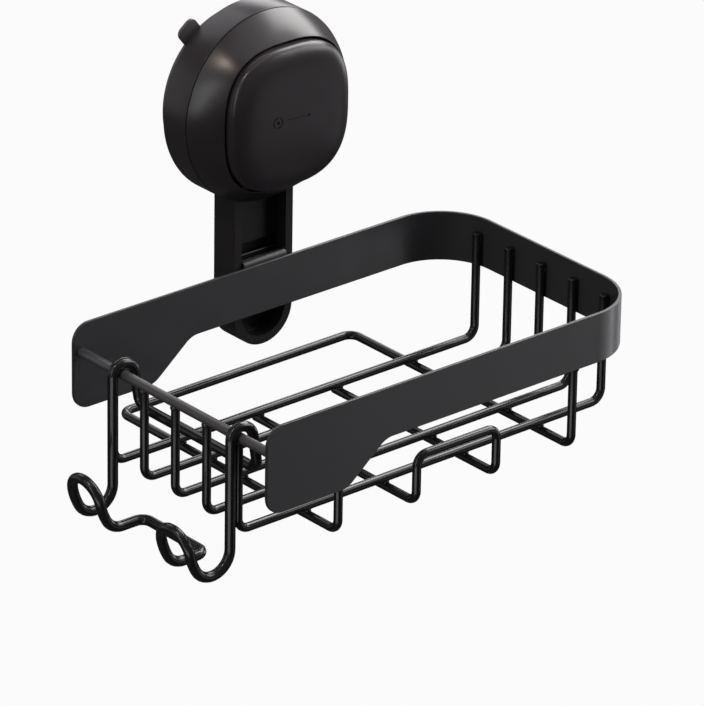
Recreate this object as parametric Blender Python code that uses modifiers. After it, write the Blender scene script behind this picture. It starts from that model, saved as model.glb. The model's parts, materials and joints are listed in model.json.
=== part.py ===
"""Suction soap dish: a press-lock suction head, its arm and a hanging wire basket.

Metres, +Z up. The wall is the plane Y = 0 and the dish stands on its -Y side.
X runs along the basket. The origin is the centre of the suction pad's wall face.
Head pieces are built in a wall frame: x to the right, y up, z out from the wall.
Basket pieces are built in a basket frame, whose origin is on the cross bar's axis
at the inner face of the band's back run.
"""

import math

import bmesh
import bpy
from mathutils import Vector

# Fits
CLEARANCE = 0.0003
OVERRUN = 0.002
ROOT = 0.001
WELD = 0.00001

# Facets
ROUND_STEPS = 48
SMALL_STEPS = 20
BEND_STEPS = 4
WIRE_SIDES_RESOLUTION = 2
SPRING_SIDES_RESOLUTION = 1
SMOOTH_ANGLE = math.radians(35)

# Suction pad
PAD_RADIUS = 0.0305
PAD_THICKNESS = 0.0024
PAD_LIP_WIDTH = 0.0025
PAD_LIP_THICKNESS = 0.0012
PAD_EDGE_CHAMFER = 0.0003
PAD_FLOOR = 0.0027
PAD_BOSS_WALL = 0.0027
PAD_BOSS_LIP = 0.0016
PULL_TAB_REACH = 0.0372
PULL_TAB_WIDTH = 0.0082
PULL_TAB_ANGLE = math.radians(128)
PULL_TAB_BACK = 0.0012
PULL_TAB_THICKNESS = 0.0012
PULL_TAB_CORNER = 0.0025

# Stem
STEM_RADIUS = 0.0035
STEM_HEAD_RADIUS = 0.006
STEM_HEAD_THICKNESS = 0.0016
STEM_GRIP = 0.0024
COLLAR_TIP_COVER = 0.0025
COLLAR_ROOF = 0.0009
COLLAR_CHAMFER = 0.0005

# Base plate
PLATE_THICKNESS = 0.0029
PLATE_SIDE_GAP = 0.001
PLATE_BOSS_GAP = 0.0006
PLATE_CHAMFER = 0.0005
POST_RADIUS = 0.0019
POST_HEIGHT = 0.003
EAR_THICKNESS = 0.002
EAR_WALL = 0.0012

# Levers
LEVER_STEM_GAP = 0.002
LEVER_BUTTON_GAP = 0.0021
LEVER_INNER_ARM = 0.0065
LEVER_WIDTH = 0.010
LEVER_THICKNESS = 0.0015
LEVER_TIP_RADIUS = 0.0011
LEVER_HUB_WALL = 0.0007
LEVER_SIDE_GAP = 0.0004
PIN_RADIUS = 0.0012
PIN_PROUD = 0.0005

# Push button
BUTTON_TRAVEL = 0.004
BUTTON_HALF = 0.025
BUTTON_SQUARENESS = 2.77
BUTTON_EDGE_FRONT = 0.0318
BUTTON_CROWN = 0.0006
CROWN_RING_SHARES = (0.3, 0.6, 0.85)
BUTTON_ROUNDING = 0.0035
BUTTON_WALL = 0.0016
BUTTON_FRONT_WALL = 0.0024
BUTTON_DEPTH = 0.0118
CARRIER_THICKNESS = 0.002
FOOT_THICKNESS = 0.002
FOOT_WIDTH = 0.008
PEG_HEIGHT = 0.002

# Return springs
SPRING_HOLE_GAP = 0.003
SPRING_POST_GAP = 0.0004
SPRING_WIRE_RADIUS = 0.00035
SPRING_CURLS = 8
SPRING_CURL_POINTS = 8

# Housing
HEAD_RADIUS = 0.0339
HOUSING_RIM = 0.0044
HOUSING_CREASE = 0.0162
HOUSING_OPENING = 0.0272
HOUSING_WALL = 0.002
HOUSING_LIP = 0.0025
BUTTON_GAP = 0.0007
DOME_START = math.radians(38)
DOME_END = math.radians(56)
DOME_STEPS = 4
BOSS_WALL = 0.0013
BOSS_INSET = 0.0034
BOSS_BUTTON_GAP = 0.0005
BOSS_RIB = 0.0026
BOSS_ANGLES = (math.radians(90), math.radians(210), math.radians(330))

# Screws
SCREW_RADIUS = 0.0011
SCREW_HEAD_RADIUS = 0.0016
SCREW_HEAD_THICKNESS = 0.0012
SCREW_LENGTH = 0.010
ARM_SCREW_HEAD_RADIUS = 0.002
ARM_SCREW_HEAD_THICKNESS = 0.0014
ARM_SCREW_TIP_GAP = 0.0006
ARM_SCREW_INSET = 0.004
ARM_SCREW_SEAT_DROP = 0.005

# Arm
ARM_WIDTH = 0.0249
ARM_BACK = 0.00525
ARM_FLANGE = 0.003
ARM_RECESS = 0.0059
ARM_POCKET_STEP = 0.0012
ARM_WEB = 0.0022
ARM_BUTTON_GAP = 0.002
ARM_PLATE_GAP = 0.0006
ARM_CHANNEL_START = 0.0045
ARM_POCKET_HEIGHT = 0.0232
ARM_END_BELOW_BAR = 0.0078
TONGUE_THICKNESS = 0.0026
TONGUE_SPRING_GAP = 0.0015
TONGUE_SHOULDER = 0.00145
HANGER_THICKNESS = 0.0024
HANGER_HEIGHT = 0.014
FOOT_PAD_SIDE_GAP = 0.00095
FOOT_PAD_CHAMFER = 0.0008

# Basket
BASKET_DEPTH = 0.098
BASKET_DROP = 0.0667
BASKET_HEAD_REACH = 0.0784
BAND_SEAT_GAP = 0.0004
BAND_THICKNESS = 0.0012
BAND_LEFT_REACH = 0.0033
BAND_RIGHT_REACH = 0.1603
BAND_TOP = 0.0101
BAND_NARROW_DROP = 0.0078
BAND_WIDE_DROP = 0.0208
BAND_FLARE_START = 0.0305
BAND_FLARE_END = 0.0465
BAND_FLARE_RADIUS = 0.008
BAND_END_RADIUS = 0.0065
BAND_CORNER_RADIUS = 0.0219
TAB_BEND_RADIUS = 0.0018
TAB_RISE = 0.0036
TAB_LEG = 0.0085

# Wires
CROSS_BAR_RADIUS = 0.0017
WIRE_RADIUS = 0.0015
WIRE_BEND = 0.0043
LOOP_BEND = 0.004
RACK_WIRES = 5
RACK_PITCH = 0.016
RACK_DROP = 0.0334
RACK_TOP = 0.0052
BASE_CENTRE = 0.07955
BASE_HALF_SPREAD = 0.05045
BASE_TOP_DROP = 0.004
BASE_WALL_GAP = 0.0003
BRIDGE_HALF_SPREAD = 0.0172
BRIDGE_DROP = 0.020
BRIDGE_REAR_PROUD = 0.003

# Double hook
HOOK_WIRE_RADIUS = 0.0018
HOOK_OFF_CENTRE = 0.00245
HOOK_HALF_SPREAD = 0.03025
HOOK_OVER_RADIUS = 0.0055
HOOK_SLANT = math.radians(9.1)
HOOK_INNER_DROP = 0.0136
HOOK_INNER_BEND = 0.004
HOOK_U_RADIUS = 0.0075
HOOK_U_DROP = 0.03846
HOOK_LEAN_LOW = math.radians(29.2)
HOOK_LEAN_HIGH = math.radians(12.8)
HOOK_LEG = 0.0068
HOOK_HAIRPIN_RADIUS = 0.0072
HOOK_CROSS_BEND = 0.0035
HOOK_CROSS_OUT = 0.0022

# Stack-up of the head, as distances from the wall
PLATE_BACK = PAD_THICKNESS + CLEARANCE
PLATE_FRONT = PLATE_BACK + PLATE_THICKNESS
PLATE_RADIUS = HEAD_RADIUS - HOUSING_WALL - PLATE_SIDE_GAP
PAD_BOSS_RADIUS = STEM_HEAD_RADIUS + CLEARANCE + PAD_BOSS_WALL
PLATE_HOLE_RADIUS = PAD_BOSS_RADIUS + PLATE_BOSS_GAP
STEM_BACK = PAD_FLOOR + CLEARANCE
STEM_SHOULDER = STEM_BACK + STEM_HEAD_THICKNESS
PAD_POCKET_TOP = STEM_SHOULDER + CLEARANCE
PAD_BOSS_TOP = PAD_POCKET_TOP + PAD_BOSS_LIP
CARRIER_HALF = BUTTON_HALF - BUTTON_WALL - CLEARANCE
LEVER_PIVOT_REACH = STEM_RADIUS + LEVER_STEM_GAP + LEVER_INNER_ARM
LEVER_OUTER_ARM = CARRIER_HALF - LEVER_BUTTON_GAP - LEVER_PIVOT_REACH
LEVER_SWING = BUTTON_TRAVEL / LEVER_OUTER_ARM
LEVER_DIP = LEVER_OUTER_ARM * math.sin(LEVER_SWING) + LEVER_TIP_RADIUS
LEVER_PIVOT = PLATE_FRONT + CLEARANCE + LEVER_DIP
LEVER_TOP = LEVER_PIVOT + LEVER_TIP_RADIUS + CLEARANCE
LEVER_HUB_RADIUS = PIN_RADIUS + CLEARANCE + LEVER_HUB_WALL
EAR_INSIDE = LEVER_WIDTH / 2 + LEVER_SIDE_GAP
STEM_TOP = LEVER_TOP + STEM_GRIP
COLLAR_RADIUS = LEVER_PIVOT_REACH - LEVER_INNER_ARM + COLLAR_TIP_COVER
SPRING_REACH = PLATE_HOLE_RADIUS + SPRING_HOLE_GAP + POST_RADIUS
SPRING_RADIUS = POST_RADIUS + SPRING_POST_GAP + SPRING_WIRE_RADIUS
BUTTON_CEILING = BUTTON_EDGE_FRONT - BUTTON_FRONT_WALL
BUTTON_SKIRT_END = BUTTON_EDGE_FRONT - BUTTON_DEPTH
CARRIER_FRONT = BUTTON_CEILING - CLEARANCE
CARRIER_BACK = CARRIER_FRONT - CARRIER_THICKNESS
OPENING_HALF = BUTTON_HALF + BUTTON_GAP
HOUSING_INSIDE = HEAD_RADIUS - HOUSING_WALL
SCREW_HOLE = SCREW_RADIUS + CLEARANCE
BOSS_RADIUS = SCREW_HOLE + BOSS_WALL
BOSS_REACH = HOUSING_INSIDE - BOSS_INSET
BOSS_BACK = PLATE_FRONT + CLEARANCE
BOSS_TOP = BUTTON_SKIRT_END - BUTTON_TRAVEL - BOSS_BUTTON_GAP
SCREW_SEAT = PLATE_BACK + SCREW_HEAD_THICKNESS + CLEARANCE

# Places of the arm and basket
ARM_FRONT = HOUSING_CREASE
ARM_HALF = ARM_WIDTH / 2
RECESS_HALF = ARM_HALF - ARM_FLANGE
FOOT_PAD_RADIUS = RECESS_HALF - FOOT_PAD_SIDE_GAP
RECESS_FLOOR = ARM_FRONT - ARM_RECESS
POCKET_FLOOR = RECESS_FLOOR - ARM_POCKET_STEP
CHANNEL_ROOF = POCKET_FLOOR - ARM_WEB
ARM_END_DROP = BASKET_DROP + ARM_END_BELOW_BAR
ARM_TOP_DROP = BUTTON_HALF + ARM_BUTTON_GAP
ARM_STEP_DROP = PLATE_RADIUS + ARM_PLATE_GAP
ARM_CHANNEL_DROP = ARM_STEP_DROP + ARM_CHANNEL_START
ARM_POCKET_DROP = ARM_END_DROP - ARM_POCKET_HEIGHT
TONGUE_TOP_DROP = SPRING_REACH + SPRING_RADIUS + SPRING_WIRE_RADIUS + TONGUE_SPRING_GAP
ARM_SCREW_DROP = TONGUE_TOP_DROP + ARM_SCREW_SEAT_DROP
TONGUE_WIDTH = ARM_WIDTH - 2 * TONGUE_SHOULDER
ARM_SCREW_SPREAD = TONGUE_WIDTH / 2 - ARM_SCREW_INSET
BASKET_WALL_GAP = ARM_FRONT + BAND_SEAT_GAP + BAND_THICKNESS
TAB_ROLL_HEIGHT = BAND_TOP + TAB_RISE - TAB_BEND_RADIUS - BAND_THICKNESS
TAB_ROLL_REACH = BAND_THICKNESS + TAB_BEND_RADIUS
TAB_HALF = RECESS_HALF - CLEARANCE
HANGER_BACK = BASKET_WALL_GAP - TAB_ROLL_REACH - TAB_BEND_RADIUS + CLEARANCE
LOOP_DROP = RACK_DROP + 2 * WIRE_RADIUS + CLEARANCE
FRONT_PLANE = BASKET_DEPTH - WIRE_RADIUS - CLEARANCE
CORNER_INSIDE = BAND_CORNER_RADIUS - BAND_THICKNESS
HOOK_OUT = CROSS_BAR_RADIUS + CLEARANCE + HOOK_WIRE_RADIUS
HOOK_MIDDLE = BASKET_DEPTH / 2 + HOOK_OFF_CENTRE

for leftover in list(bpy.data.objects):
    bpy.data.objects.remove(leftover, do_unlink=True)


def new_collection(name):
    group = bpy.data.collections.new(name)
    bpy.context.scene.collection.children.link(group)
    return group


PARTS = new_collection("suction_soap_dish")
CUTTERS = new_collection("cutters")


def place(name, data, frame=None, location=(0, 0, 0), rotation=(0, 0, 0), group=None):
    """Adds an object under a frame, in the parts collection unless another is given."""
    obj = bpy.data.objects.new(name, data)
    (group or PARTS).objects.link(obj)
    obj.parent = frame
    obj.location = location
    obj.rotation_euler = rotation
    return obj


def make_frame(name, location=(0, 0, 0), rotation=(0, 0, 0), parent=None):
    return place(name, None, parent, location, rotation)


def paint(obj, colour, roughness, metallic):
    """Gives a piece its own Principled material."""
    material = bpy.data.materials.new(obj.name + "_finish")
    material.use_nodes = True
    shader = material.node_tree.nodes["Principled BSDF"]
    shader.inputs["Base Color"].default_value = (*colour, 1)
    shader.inputs["Roughness"].default_value = roughness
    shader.inputs["Metallic"].default_value = metallic
    obj.data.materials.append(material)


def paint_metal(obj):
    paint(obj, (0.018, 0.017, 0.018), 0.38, 0.0)


def paint_plastic(obj):
    paint(obj, (0.022, 0.021, 0.022), 0.42, 0.0)


def paint_rubber(obj):
    paint(obj, (0.03, 0.03, 0.03), 0.7, 0.0)


def paint_steel(obj):
    paint(obj, (0.55, 0.55, 0.56), 0.3, 1.0)


def smooth(obj):
    obj.data.shade_smooth()
    obj.data.set_sharp_from_angle(angle=SMOOTH_ANGLE)


def arc(centre, radius, start, end, steps):
    """Points of a flat arc, both ends included."""
    points = []
    for step in range(steps + 1):
        angle = start + (end - start) * step / steps
        points.append((centre[0] + radius * math.cos(angle), centre[1] + radius * math.sin(angle)))
    return points


def fillet(before, corner, after, radius, steps=BEND_STEPS):
    """The arc that rounds a corner between two straight runs, flat or in space."""
    before, corner, after = (Vector(point).to_3d() for point in (before, corner, after))
    back = (before - corner).normalized()
    ahead = (after - corner).normalized()
    half = back.angle(ahead) / 2
    centre = corner + (back + ahead).normalized() * radius / math.sin(half)
    start = corner + back * radius / math.tan(half) - centre
    side = (-back - start.normalized() * -back.dot(start.normalized())).normalized() * radius
    sweep = math.pi - 2 * half
    return [
        centre + start * math.cos(sweep * step / steps) + side * math.sin(sweep * step / steps)
        for step in range(steps + 1)
    ]


def rounded_run(corners, radius):
    """A wire's route: straight runs between corners, each inner corner rounded."""
    route = [Vector(corners[0])]
    for before, corner, after in zip(corners, corners[1:], corners[2:]):
        route += fillet(before, corner, after, radius)
    return route + [Vector(corners[-1])]


def squircle(half, squareness, height, steps=ROUND_STEPS):
    """A superellipse ring in the plane z = height."""
    ring = []
    for step in range(steps):
        angle = 2 * math.pi * step / steps
        sides = abs(math.cos(angle)) ** squareness + abs(math.sin(angle)) ** squareness
        radius = half / sides ** (1 / squareness)
        ring.append((radius * math.cos(angle), radius * math.sin(angle), height))
    return ring


def tube(name, route, radius, frame, closed=False, sides=WIRE_SIDES_RESOLUTION, location=(0, 0, 0)):
    """A round wire along a route of points."""
    curve = bpy.data.curves.new(name, "CURVE")
    curve.dimensions = "3D"
    curve.bevel_depth = radius
    curve.bevel_resolution = sides
    curve.use_fill_caps = True
    spline = curve.splines.new("POLY")
    spline.points.add(len(route) - 1)
    spline.use_cyclic_u = closed
    for point, spot in zip(spline.points, route):
        point.co = (*spot, 1)
    return place(name, curve, frame, location)


def as_mesh(curve_object):
    """Turns a curve object into a mesh object in the same place, with its caps welded."""
    bpy.context.view_layer.update()
    name = curve_object.name
    evaluated = curve_object.evaluated_get(bpy.context.evaluated_depsgraph_get())
    mesh = bpy.data.meshes.new_from_object(evaluated)
    work = bmesh.new()
    work.from_mesh(mesh)
    bmesh.ops.remove_doubles(work, verts=work.verts, dist=WELD)
    bmesh.ops.recalc_face_normals(work, faces=work.faces)
    work.to_mesh(mesh)
    work.free()
    group = curve_object.users_collection[0]
    frame, matrix = curve_object.parent, curve_object.matrix_world.copy()
    bpy.data.objects.remove(curve_object, do_unlink=True)
    solid = place(name, mesh, frame, group=group)
    solid.matrix_world = matrix
    return solid


def plate(name, loops, thickness, frame, location=(0, 0, 0), rotation=(0, 0, 0)):
    """A flat outline, with any holes, given its thickness about its own plane."""
    curve = bpy.data.curves.new(name, "CURVE")
    curve.dimensions = "2D"
    curve.fill_mode = "BOTH"
    curve.extrude = thickness / 2
    for loop in loops:
        spline = curve.splines.new("POLY")
        spline.points.add(len(loop) - 1)
        spline.use_cyclic_u = True
        for point, spot in zip(spline.points, loop):
            point.co = (spot[0], spot[1], 0, 1)
    return as_mesh(place(name, curve, frame, location, rotation))


def block(name, low, high, frame):
    """A box between two corners."""
    mesh = bpy.data.meshes.new(name)
    work = bmesh.new()
    bmesh.ops.create_cube(work, size=1)
    for vert in work.verts:
        for axis in range(3):
            vert.co[axis] = high[axis] if vert.co[axis] > 0 else low[axis]
    work.to_mesh(mesh)
    work.free()
    return place(name, mesh, frame)


def rod(name, radius, low, high, frame, location=(0, 0, 0), rotation=(0, 0, 0), steps=SMALL_STEPS):
    """A cylinder along local z from low to high."""
    mesh = bpy.data.meshes.new(name)
    work = bmesh.new()
    bmesh.ops.create_cone(
        work, cap_ends=True, segments=steps, radius1=radius, radius2=radius, depth=high - low
    )
    bmesh.ops.translate(work, verts=work.verts, vec=(0, 0, (low + high) / 2))
    work.to_mesh(mesh)
    work.free()
    return place(name, mesh, frame, location, rotation)


def turned(name, profile, frame, location=(0, 0, 0), ring=False, steps=ROUND_STEPS, rotation=(0, 0, 0)):
    """Turns a profile of (radius, height) points round local z."""
    mesh = bpy.data.meshes.new(name)
    verts = [(radius, 0, height) for radius, height in profile]
    edges = [(index, index + 1) for index in range(len(verts) - 1)]
    if ring:
        edges.append((len(verts) - 1, 0))
    mesh.from_pydata(verts, edges, [])
    obj = place(name, mesh, frame, location, rotation)
    screw = obj.modifiers.new("turn", "SCREW")
    screw.axis = "Z"
    screw.steps = steps
    screw.render_steps = steps
    screw.use_merge_vertices = True
    screw.merge_threshold = WELD
    screw.use_smooth_shade = False
    return obj


def loft(name, rings, frame, first_tip=None, last_tip=None):
    """Joins rings of equal count; without tips the last ring meets the first."""
    mesh = bpy.data.meshes.new(name)
    work = bmesh.new()
    rows = [[work.verts.new(spot) for spot in ring] for ring in rings]
    pairs = list(zip(rows, rows[1:]))
    if first_tip is None:
        pairs.append((rows[-1], rows[0]))
    for near, far in pairs:
        for index in range(len(near)):
            following = (index + 1) % len(near)
            work.faces.new((near[index], near[following], far[following], far[index]))
    for tip, row in ((first_tip, rows[0]), (last_tip, rows[-1])):
        if tip is not None:
            peak = work.verts.new(tip)
            for index in range(len(row)):
                work.faces.new((row[index], row[(index + 1) % len(row)], peak))
    bmesh.ops.recalc_face_normals(work, faces=work.faces)
    work.to_mesh(mesh)
    work.free()
    return place(name, mesh, frame)


def combine(target, tool, operation):
    """Cuts, joins or crosses a piece with a tool, which moves to the cutters."""
    for group in list(tool.users_collection):
        group.objects.unlink(tool)
    CUTTERS.objects.link(tool)
    tool.hide_render = True
    tool.display_type = "WIRE"
    step = target.modifiers.new(tool.name, "BOOLEAN")
    step.operation = operation
    step.object = tool


def cut(target, tool):
    combine(target, tool, "DIFFERENCE")


def join(target, tool):
    combine(target, tool, "UNION")


def polar(reach, angle):
    return (reach * math.cos(angle), reach * math.sin(angle))


def make_suction_pad(wall):
    """Soft disc with a boss that grips the stem, and a pull tab at the upper left."""
    pocket = STEM_HEAD_RADIUS + CLEARANCE
    mouth = STEM_RADIUS + CLEARANCE
    profile = [
        (0, PAD_FLOOR),
        (pocket, PAD_FLOOR),
        (pocket, PAD_POCKET_TOP),
        (mouth, PAD_POCKET_TOP),
        (mouth, PAD_BOSS_TOP),
        (PAD_BOSS_RADIUS, PAD_BOSS_TOP),
        (PAD_BOSS_RADIUS, PAD_THICKNESS),
        (PAD_RADIUS - PAD_LIP_WIDTH, PAD_THICKNESS),
        (PAD_RADIUS, PAD_LIP_THICKNESS),
        (PAD_RADIUS, PAD_EDGE_CHAMFER),
        (PAD_RADIUS - PAD_EDGE_CHAMFER, 0),
        (0, 0),
    ]
    pad = turned("suction_pad", profile, wall)
    half = PULL_TAB_WIDTH / 2
    root = PAD_RADIUS - PAD_LIP_WIDTH
    corners = [(root, -half), (PULL_TAB_REACH, -half), (PULL_TAB_REACH, half), (root, half)]
    outline = [corners[0]]
    outline += [spot[:2] for spot in fillet(*corners[:3], PULL_TAB_CORNER)]
    outline += [spot[:2] for spot in fillet(*corners[1:], PULL_TAB_CORNER)]
    outline.append(corners[3])
    middle = PULL_TAB_BACK + PULL_TAB_THICKNESS / 2
    tab = plate("pull_tab", [outline], PULL_TAB_THICKNESS, wall, (0, 0, middle), (0, 0, PULL_TAB_ANGLE))
    join(pad, tab)
    paint_rubber(pad)


def make_stem(stem):
    """Stem with its broad head in the pad, and the collar that the levers lift."""
    profile = [
        (0, STEM_TOP),
        (STEM_RADIUS, STEM_TOP),
        (STEM_RADIUS, STEM_SHOULDER),
        (STEM_HEAD_RADIUS, STEM_SHOULDER),
        (STEM_HEAD_RADIUS, STEM_BACK),
        (0, STEM_BACK),
    ]
    paint_plastic(turned("pad_stem", profile, stem, steps=SMALL_STEPS))
    bore = STEM_RADIUS + CLEARANCE
    ceiling = STEM_TOP + CLEARANCE
    roof = ceiling + COLLAR_ROOF
    profile = [
        (0, roof),
        (COLLAR_RADIUS - COLLAR_CHAMFER, roof),
        (COLLAR_RADIUS, roof - COLLAR_CHAMFER),
        (COLLAR_RADIUS, LEVER_TOP),
        (bore, LEVER_TOP),
        (bore, ceiling),
        (0, ceiling),
    ]
    paint_plastic(turned("stem_collar", profile, stem, steps=SMALL_STEPS))


def make_base_plate(wall):
    """Stiff disc over the pad, with lever ears, spring posts and screw holes."""
    profile = [
        (PLATE_HOLE_RADIUS, PLATE_FRONT),
        (PLATE_RADIUS - PLATE_CHAMFER, PLATE_FRONT),
        (PLATE_RADIUS, PLATE_FRONT - PLATE_CHAMFER),
        (PLATE_RADIUS, PLATE_BACK),
        (PLATE_HOLE_RADIUS, PLATE_BACK),
    ]
    base = turned("base_plate", profile, wall, ring=True)
    ear_radius = PIN_RADIUS + CLEARANCE + EAR_WALL
    foot = PLATE_FRONT - ROOT
    for side in (-1, 1):
        for end in (-1, 1):
            centre = (side * LEVER_PIVOT_REACH, LEVER_PIVOT)
            outline = arc(centre, ear_radius, 0, math.pi, SMALL_STEPS // 2)
            outline += [(centre[0] - ear_radius, foot), (centre[0] + ear_radius, foot)]
            hole = arc(centre, PIN_RADIUS + CLEARANCE, 0, 2 * math.pi, SMALL_STEPS)[:-1]
            middle = end * (EAR_INSIDE + EAR_THICKNESS / 2)
            ear = plate("ear", [outline, hole], EAR_THICKNESS, wall, (0, middle, 0), (math.pi / 2, 0, 0))
            join(base, ear)
    for end in (-1, 1):
        top = PLATE_FRONT + POST_HEIGHT
        join(base, rod("post", POST_RADIUS, foot, top, wall, (0, end * SPRING_REACH, 0)))
    for angle in BOSS_ANGLES:
        spot = (*polar(BOSS_REACH, angle), 0)
        low = PLATE_BACK - OVERRUN
        high = PLATE_FRONT + OVERRUN
        head = SCREW_HEAD_RADIUS + CLEARANCE
        cut(base, rod("screw_hole", SCREW_HOLE, low, high, wall, spot))
        cut(base, rod("screw_well", head, low, SCREW_SEAT, wall, spot))
    for side in (-1, 1):
        spot = (side * ARM_SCREW_SPREAD, -ARM_SCREW_DROP, 0)
        cut(base, rod("arm_hole", SCREW_HOLE, PLATE_BACK - OVERRUN, PLATE_FRONT + OVERRUN, wall, spot))
    paint_plastic(base)


def lever_outline():
    """Bar with round tips and a hub about the pin, pivot at the outline's origin."""
    half = LEVER_THICKNESS / 2
    tip = math.asin(half / LEVER_TIP_RADIUS)
    hub = math.asin(half / LEVER_HUB_RADIUS)
    steps = SMALL_STEPS // 2
    outer = arc((LEVER_OUTER_ARM, 0), LEVER_TIP_RADIUS, tip - math.pi, math.pi - tip, steps)
    above = arc((0, 0), LEVER_HUB_RADIUS, hub, math.pi - hub, steps)
    inner = arc((-LEVER_INNER_ARM, 0), LEVER_TIP_RADIUS, tip, 2 * math.pi - tip, steps)
    below = arc((0, 0), LEVER_HUB_RADIUS, math.pi + hub, 2 * math.pi - hub, steps)
    return outer + above + inner + below


def make_levers(wall):
    """Two rocking levers on pins, which turn the button's push into the stem's pull."""
    hole = arc((0, 0), PIN_RADIUS + CLEARANCE, 0, 2 * math.pi, SMALL_STEPS)[:-1]
    for word, side, turn in (("left", -1, math.pi), ("right", 1, 0)):
        pivot = (side * LEVER_PIVOT_REACH, 0, LEVER_PIVOT)
        axle = make_frame("lever_axle_" + word, pivot, (0, 0, turn), wall)
        lever = plate(
            "lever_" + word, [lever_outline(), hole], LEVER_WIDTH, axle, rotation=(math.pi / 2, 0, 0)
        )
        smooth(lever)
        paint_plastic(lever)
        reach = EAR_INSIDE + EAR_THICKNESS + PIN_PROUD
        pin = rod("lever_pin_" + word, PIN_RADIUS, -reach, reach, wall, pivot, (math.pi / 2, 0, 0))
        smooth(pin)
        paint_steel(pin)


def make_button(button):
    """Squircle cap with a rounded edge and a slight crown, hollow behind."""
    rounding_end = BUTTON_EDGE_FRONT - BUTTON_ROUNDING
    rings = []
    for share in CROWN_RING_SHARES:
        height = BUTTON_EDGE_FRONT + BUTTON_CROWN * (1 - share**2)
        rings.append(squircle((BUTTON_HALF - BUTTON_ROUNDING) * share, BUTTON_SQUARENESS, height))
    for step in range(BEND_STEPS + 1):
        angle = math.pi / 2 * (1 - step / BEND_STEPS)
        half = BUTTON_HALF - BUTTON_ROUNDING * (1 - math.cos(angle))
        height = rounding_end + BUTTON_ROUNDING * math.sin(angle)
        rings.append(squircle(half, BUTTON_SQUARENESS, height))
    inside = BUTTON_HALF - BUTTON_WALL
    rings.append(squircle(BUTTON_HALF, BUTTON_SQUARENESS, BUTTON_SKIRT_END))
    rings.append(squircle(inside, BUTTON_SQUARENESS, BUTTON_SKIRT_END))
    rings.append(squircle(inside, BUTTON_SQUARENESS, BUTTON_CEILING))
    front = (0, 0, BUTTON_EDGE_FRONT + BUTTON_CROWN)
    cap = loft("push_button", rings, button, front, (0, 0, BUTTON_CEILING))
    smooth(cap)
    paint_plastic(cap)


def make_carrier(button):
    """Plate inside the button, with two feet on the levers and two spring pegs."""
    outline = [spot[:2] for spot in squircle(CARRIER_HALF, BUTTON_SQUARENESS, 0)]
    middle = CARRIER_BACK + CARRIER_THICKNESS / 2
    carrier = plate("button_carrier", [outline], CARRIER_THICKNESS, button, (0, 0, middle))
    tip = LEVER_PIVOT_REACH + LEVER_OUTER_ARM
    top = CARRIER_BACK + ROOT
    for side in (-1, 1):
        near = side * tip - FOOT_THICKNESS / 2
        low = (near, -FOOT_WIDTH / 2, LEVER_TOP)
        high = (near + FOOT_THICKNESS, FOOT_WIDTH / 2, top)
        join(carrier, block("foot", low, high, button))
        spot = (0, side * SPRING_REACH, 0)
        join(carrier, rod("peg", POST_RADIUS, CARRIER_BACK - PEG_HEIGHT, top, button, spot))
    paint_plastic(carrier)


def make_springs(wall):
    """Two coil springs between the base plate's posts and the carrier's pegs."""
    low = PLATE_FRONT + CLEARANCE + SPRING_WIRE_RADIUS
    high = CARRIER_BACK - CLEARANCE - SPRING_WIRE_RADIUS
    count = SPRING_CURLS * SPRING_CURL_POINTS
    pitch = (high - low) / SPRING_CURLS
    route = []
    for step in range(count + 1):
        angle = 2 * math.pi * step / SPRING_CURL_POINTS
        height = low + (high - low) * step / count
        route.append((*polar(SPRING_RADIUS, angle), height))
    print("least gap between spring curls, mm", round((pitch - 2 * SPRING_WIRE_RADIUS) * 1000, 2))
    for word, end in (("upper", 1), ("lower", -1)):
        spot = (0, end * SPRING_REACH, 0)
        name = "return_spring_" + word
        spring = tube(name, route, SPRING_WIRE_RADIUS, wall, sides=SPRING_SIDES_RESOLUTION, location=spot)
        paint_steel(spring)


def dome_rings(base_radius, base_height, opening_half, opening_height):
    """Rings from a circle at the crease to the squircle opening."""
    rings = []
    wide_span = math.cos(DOME_START) - math.cos(DOME_END)
    high_span = math.sin(DOME_END) - math.sin(DOME_START)
    for step in range(DOME_STEPS + 1):
        angle = DOME_START + (DOME_END - DOME_START) * step / DOME_STEPS
        share = (math.cos(angle) - math.cos(DOME_END)) / wide_span
        risen_share = (math.sin(angle) - math.sin(DOME_START)) / high_span
        height = base_height + (opening_height - base_height) * risen_share
        wide = squircle(base_radius, 2, height)
        tight = squircle(opening_half, BUTTON_SQUARENESS, height)
        rings.append([Vector(near).lerp(far, share) for near, far in zip(tight, wide)])
    return rings


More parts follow.
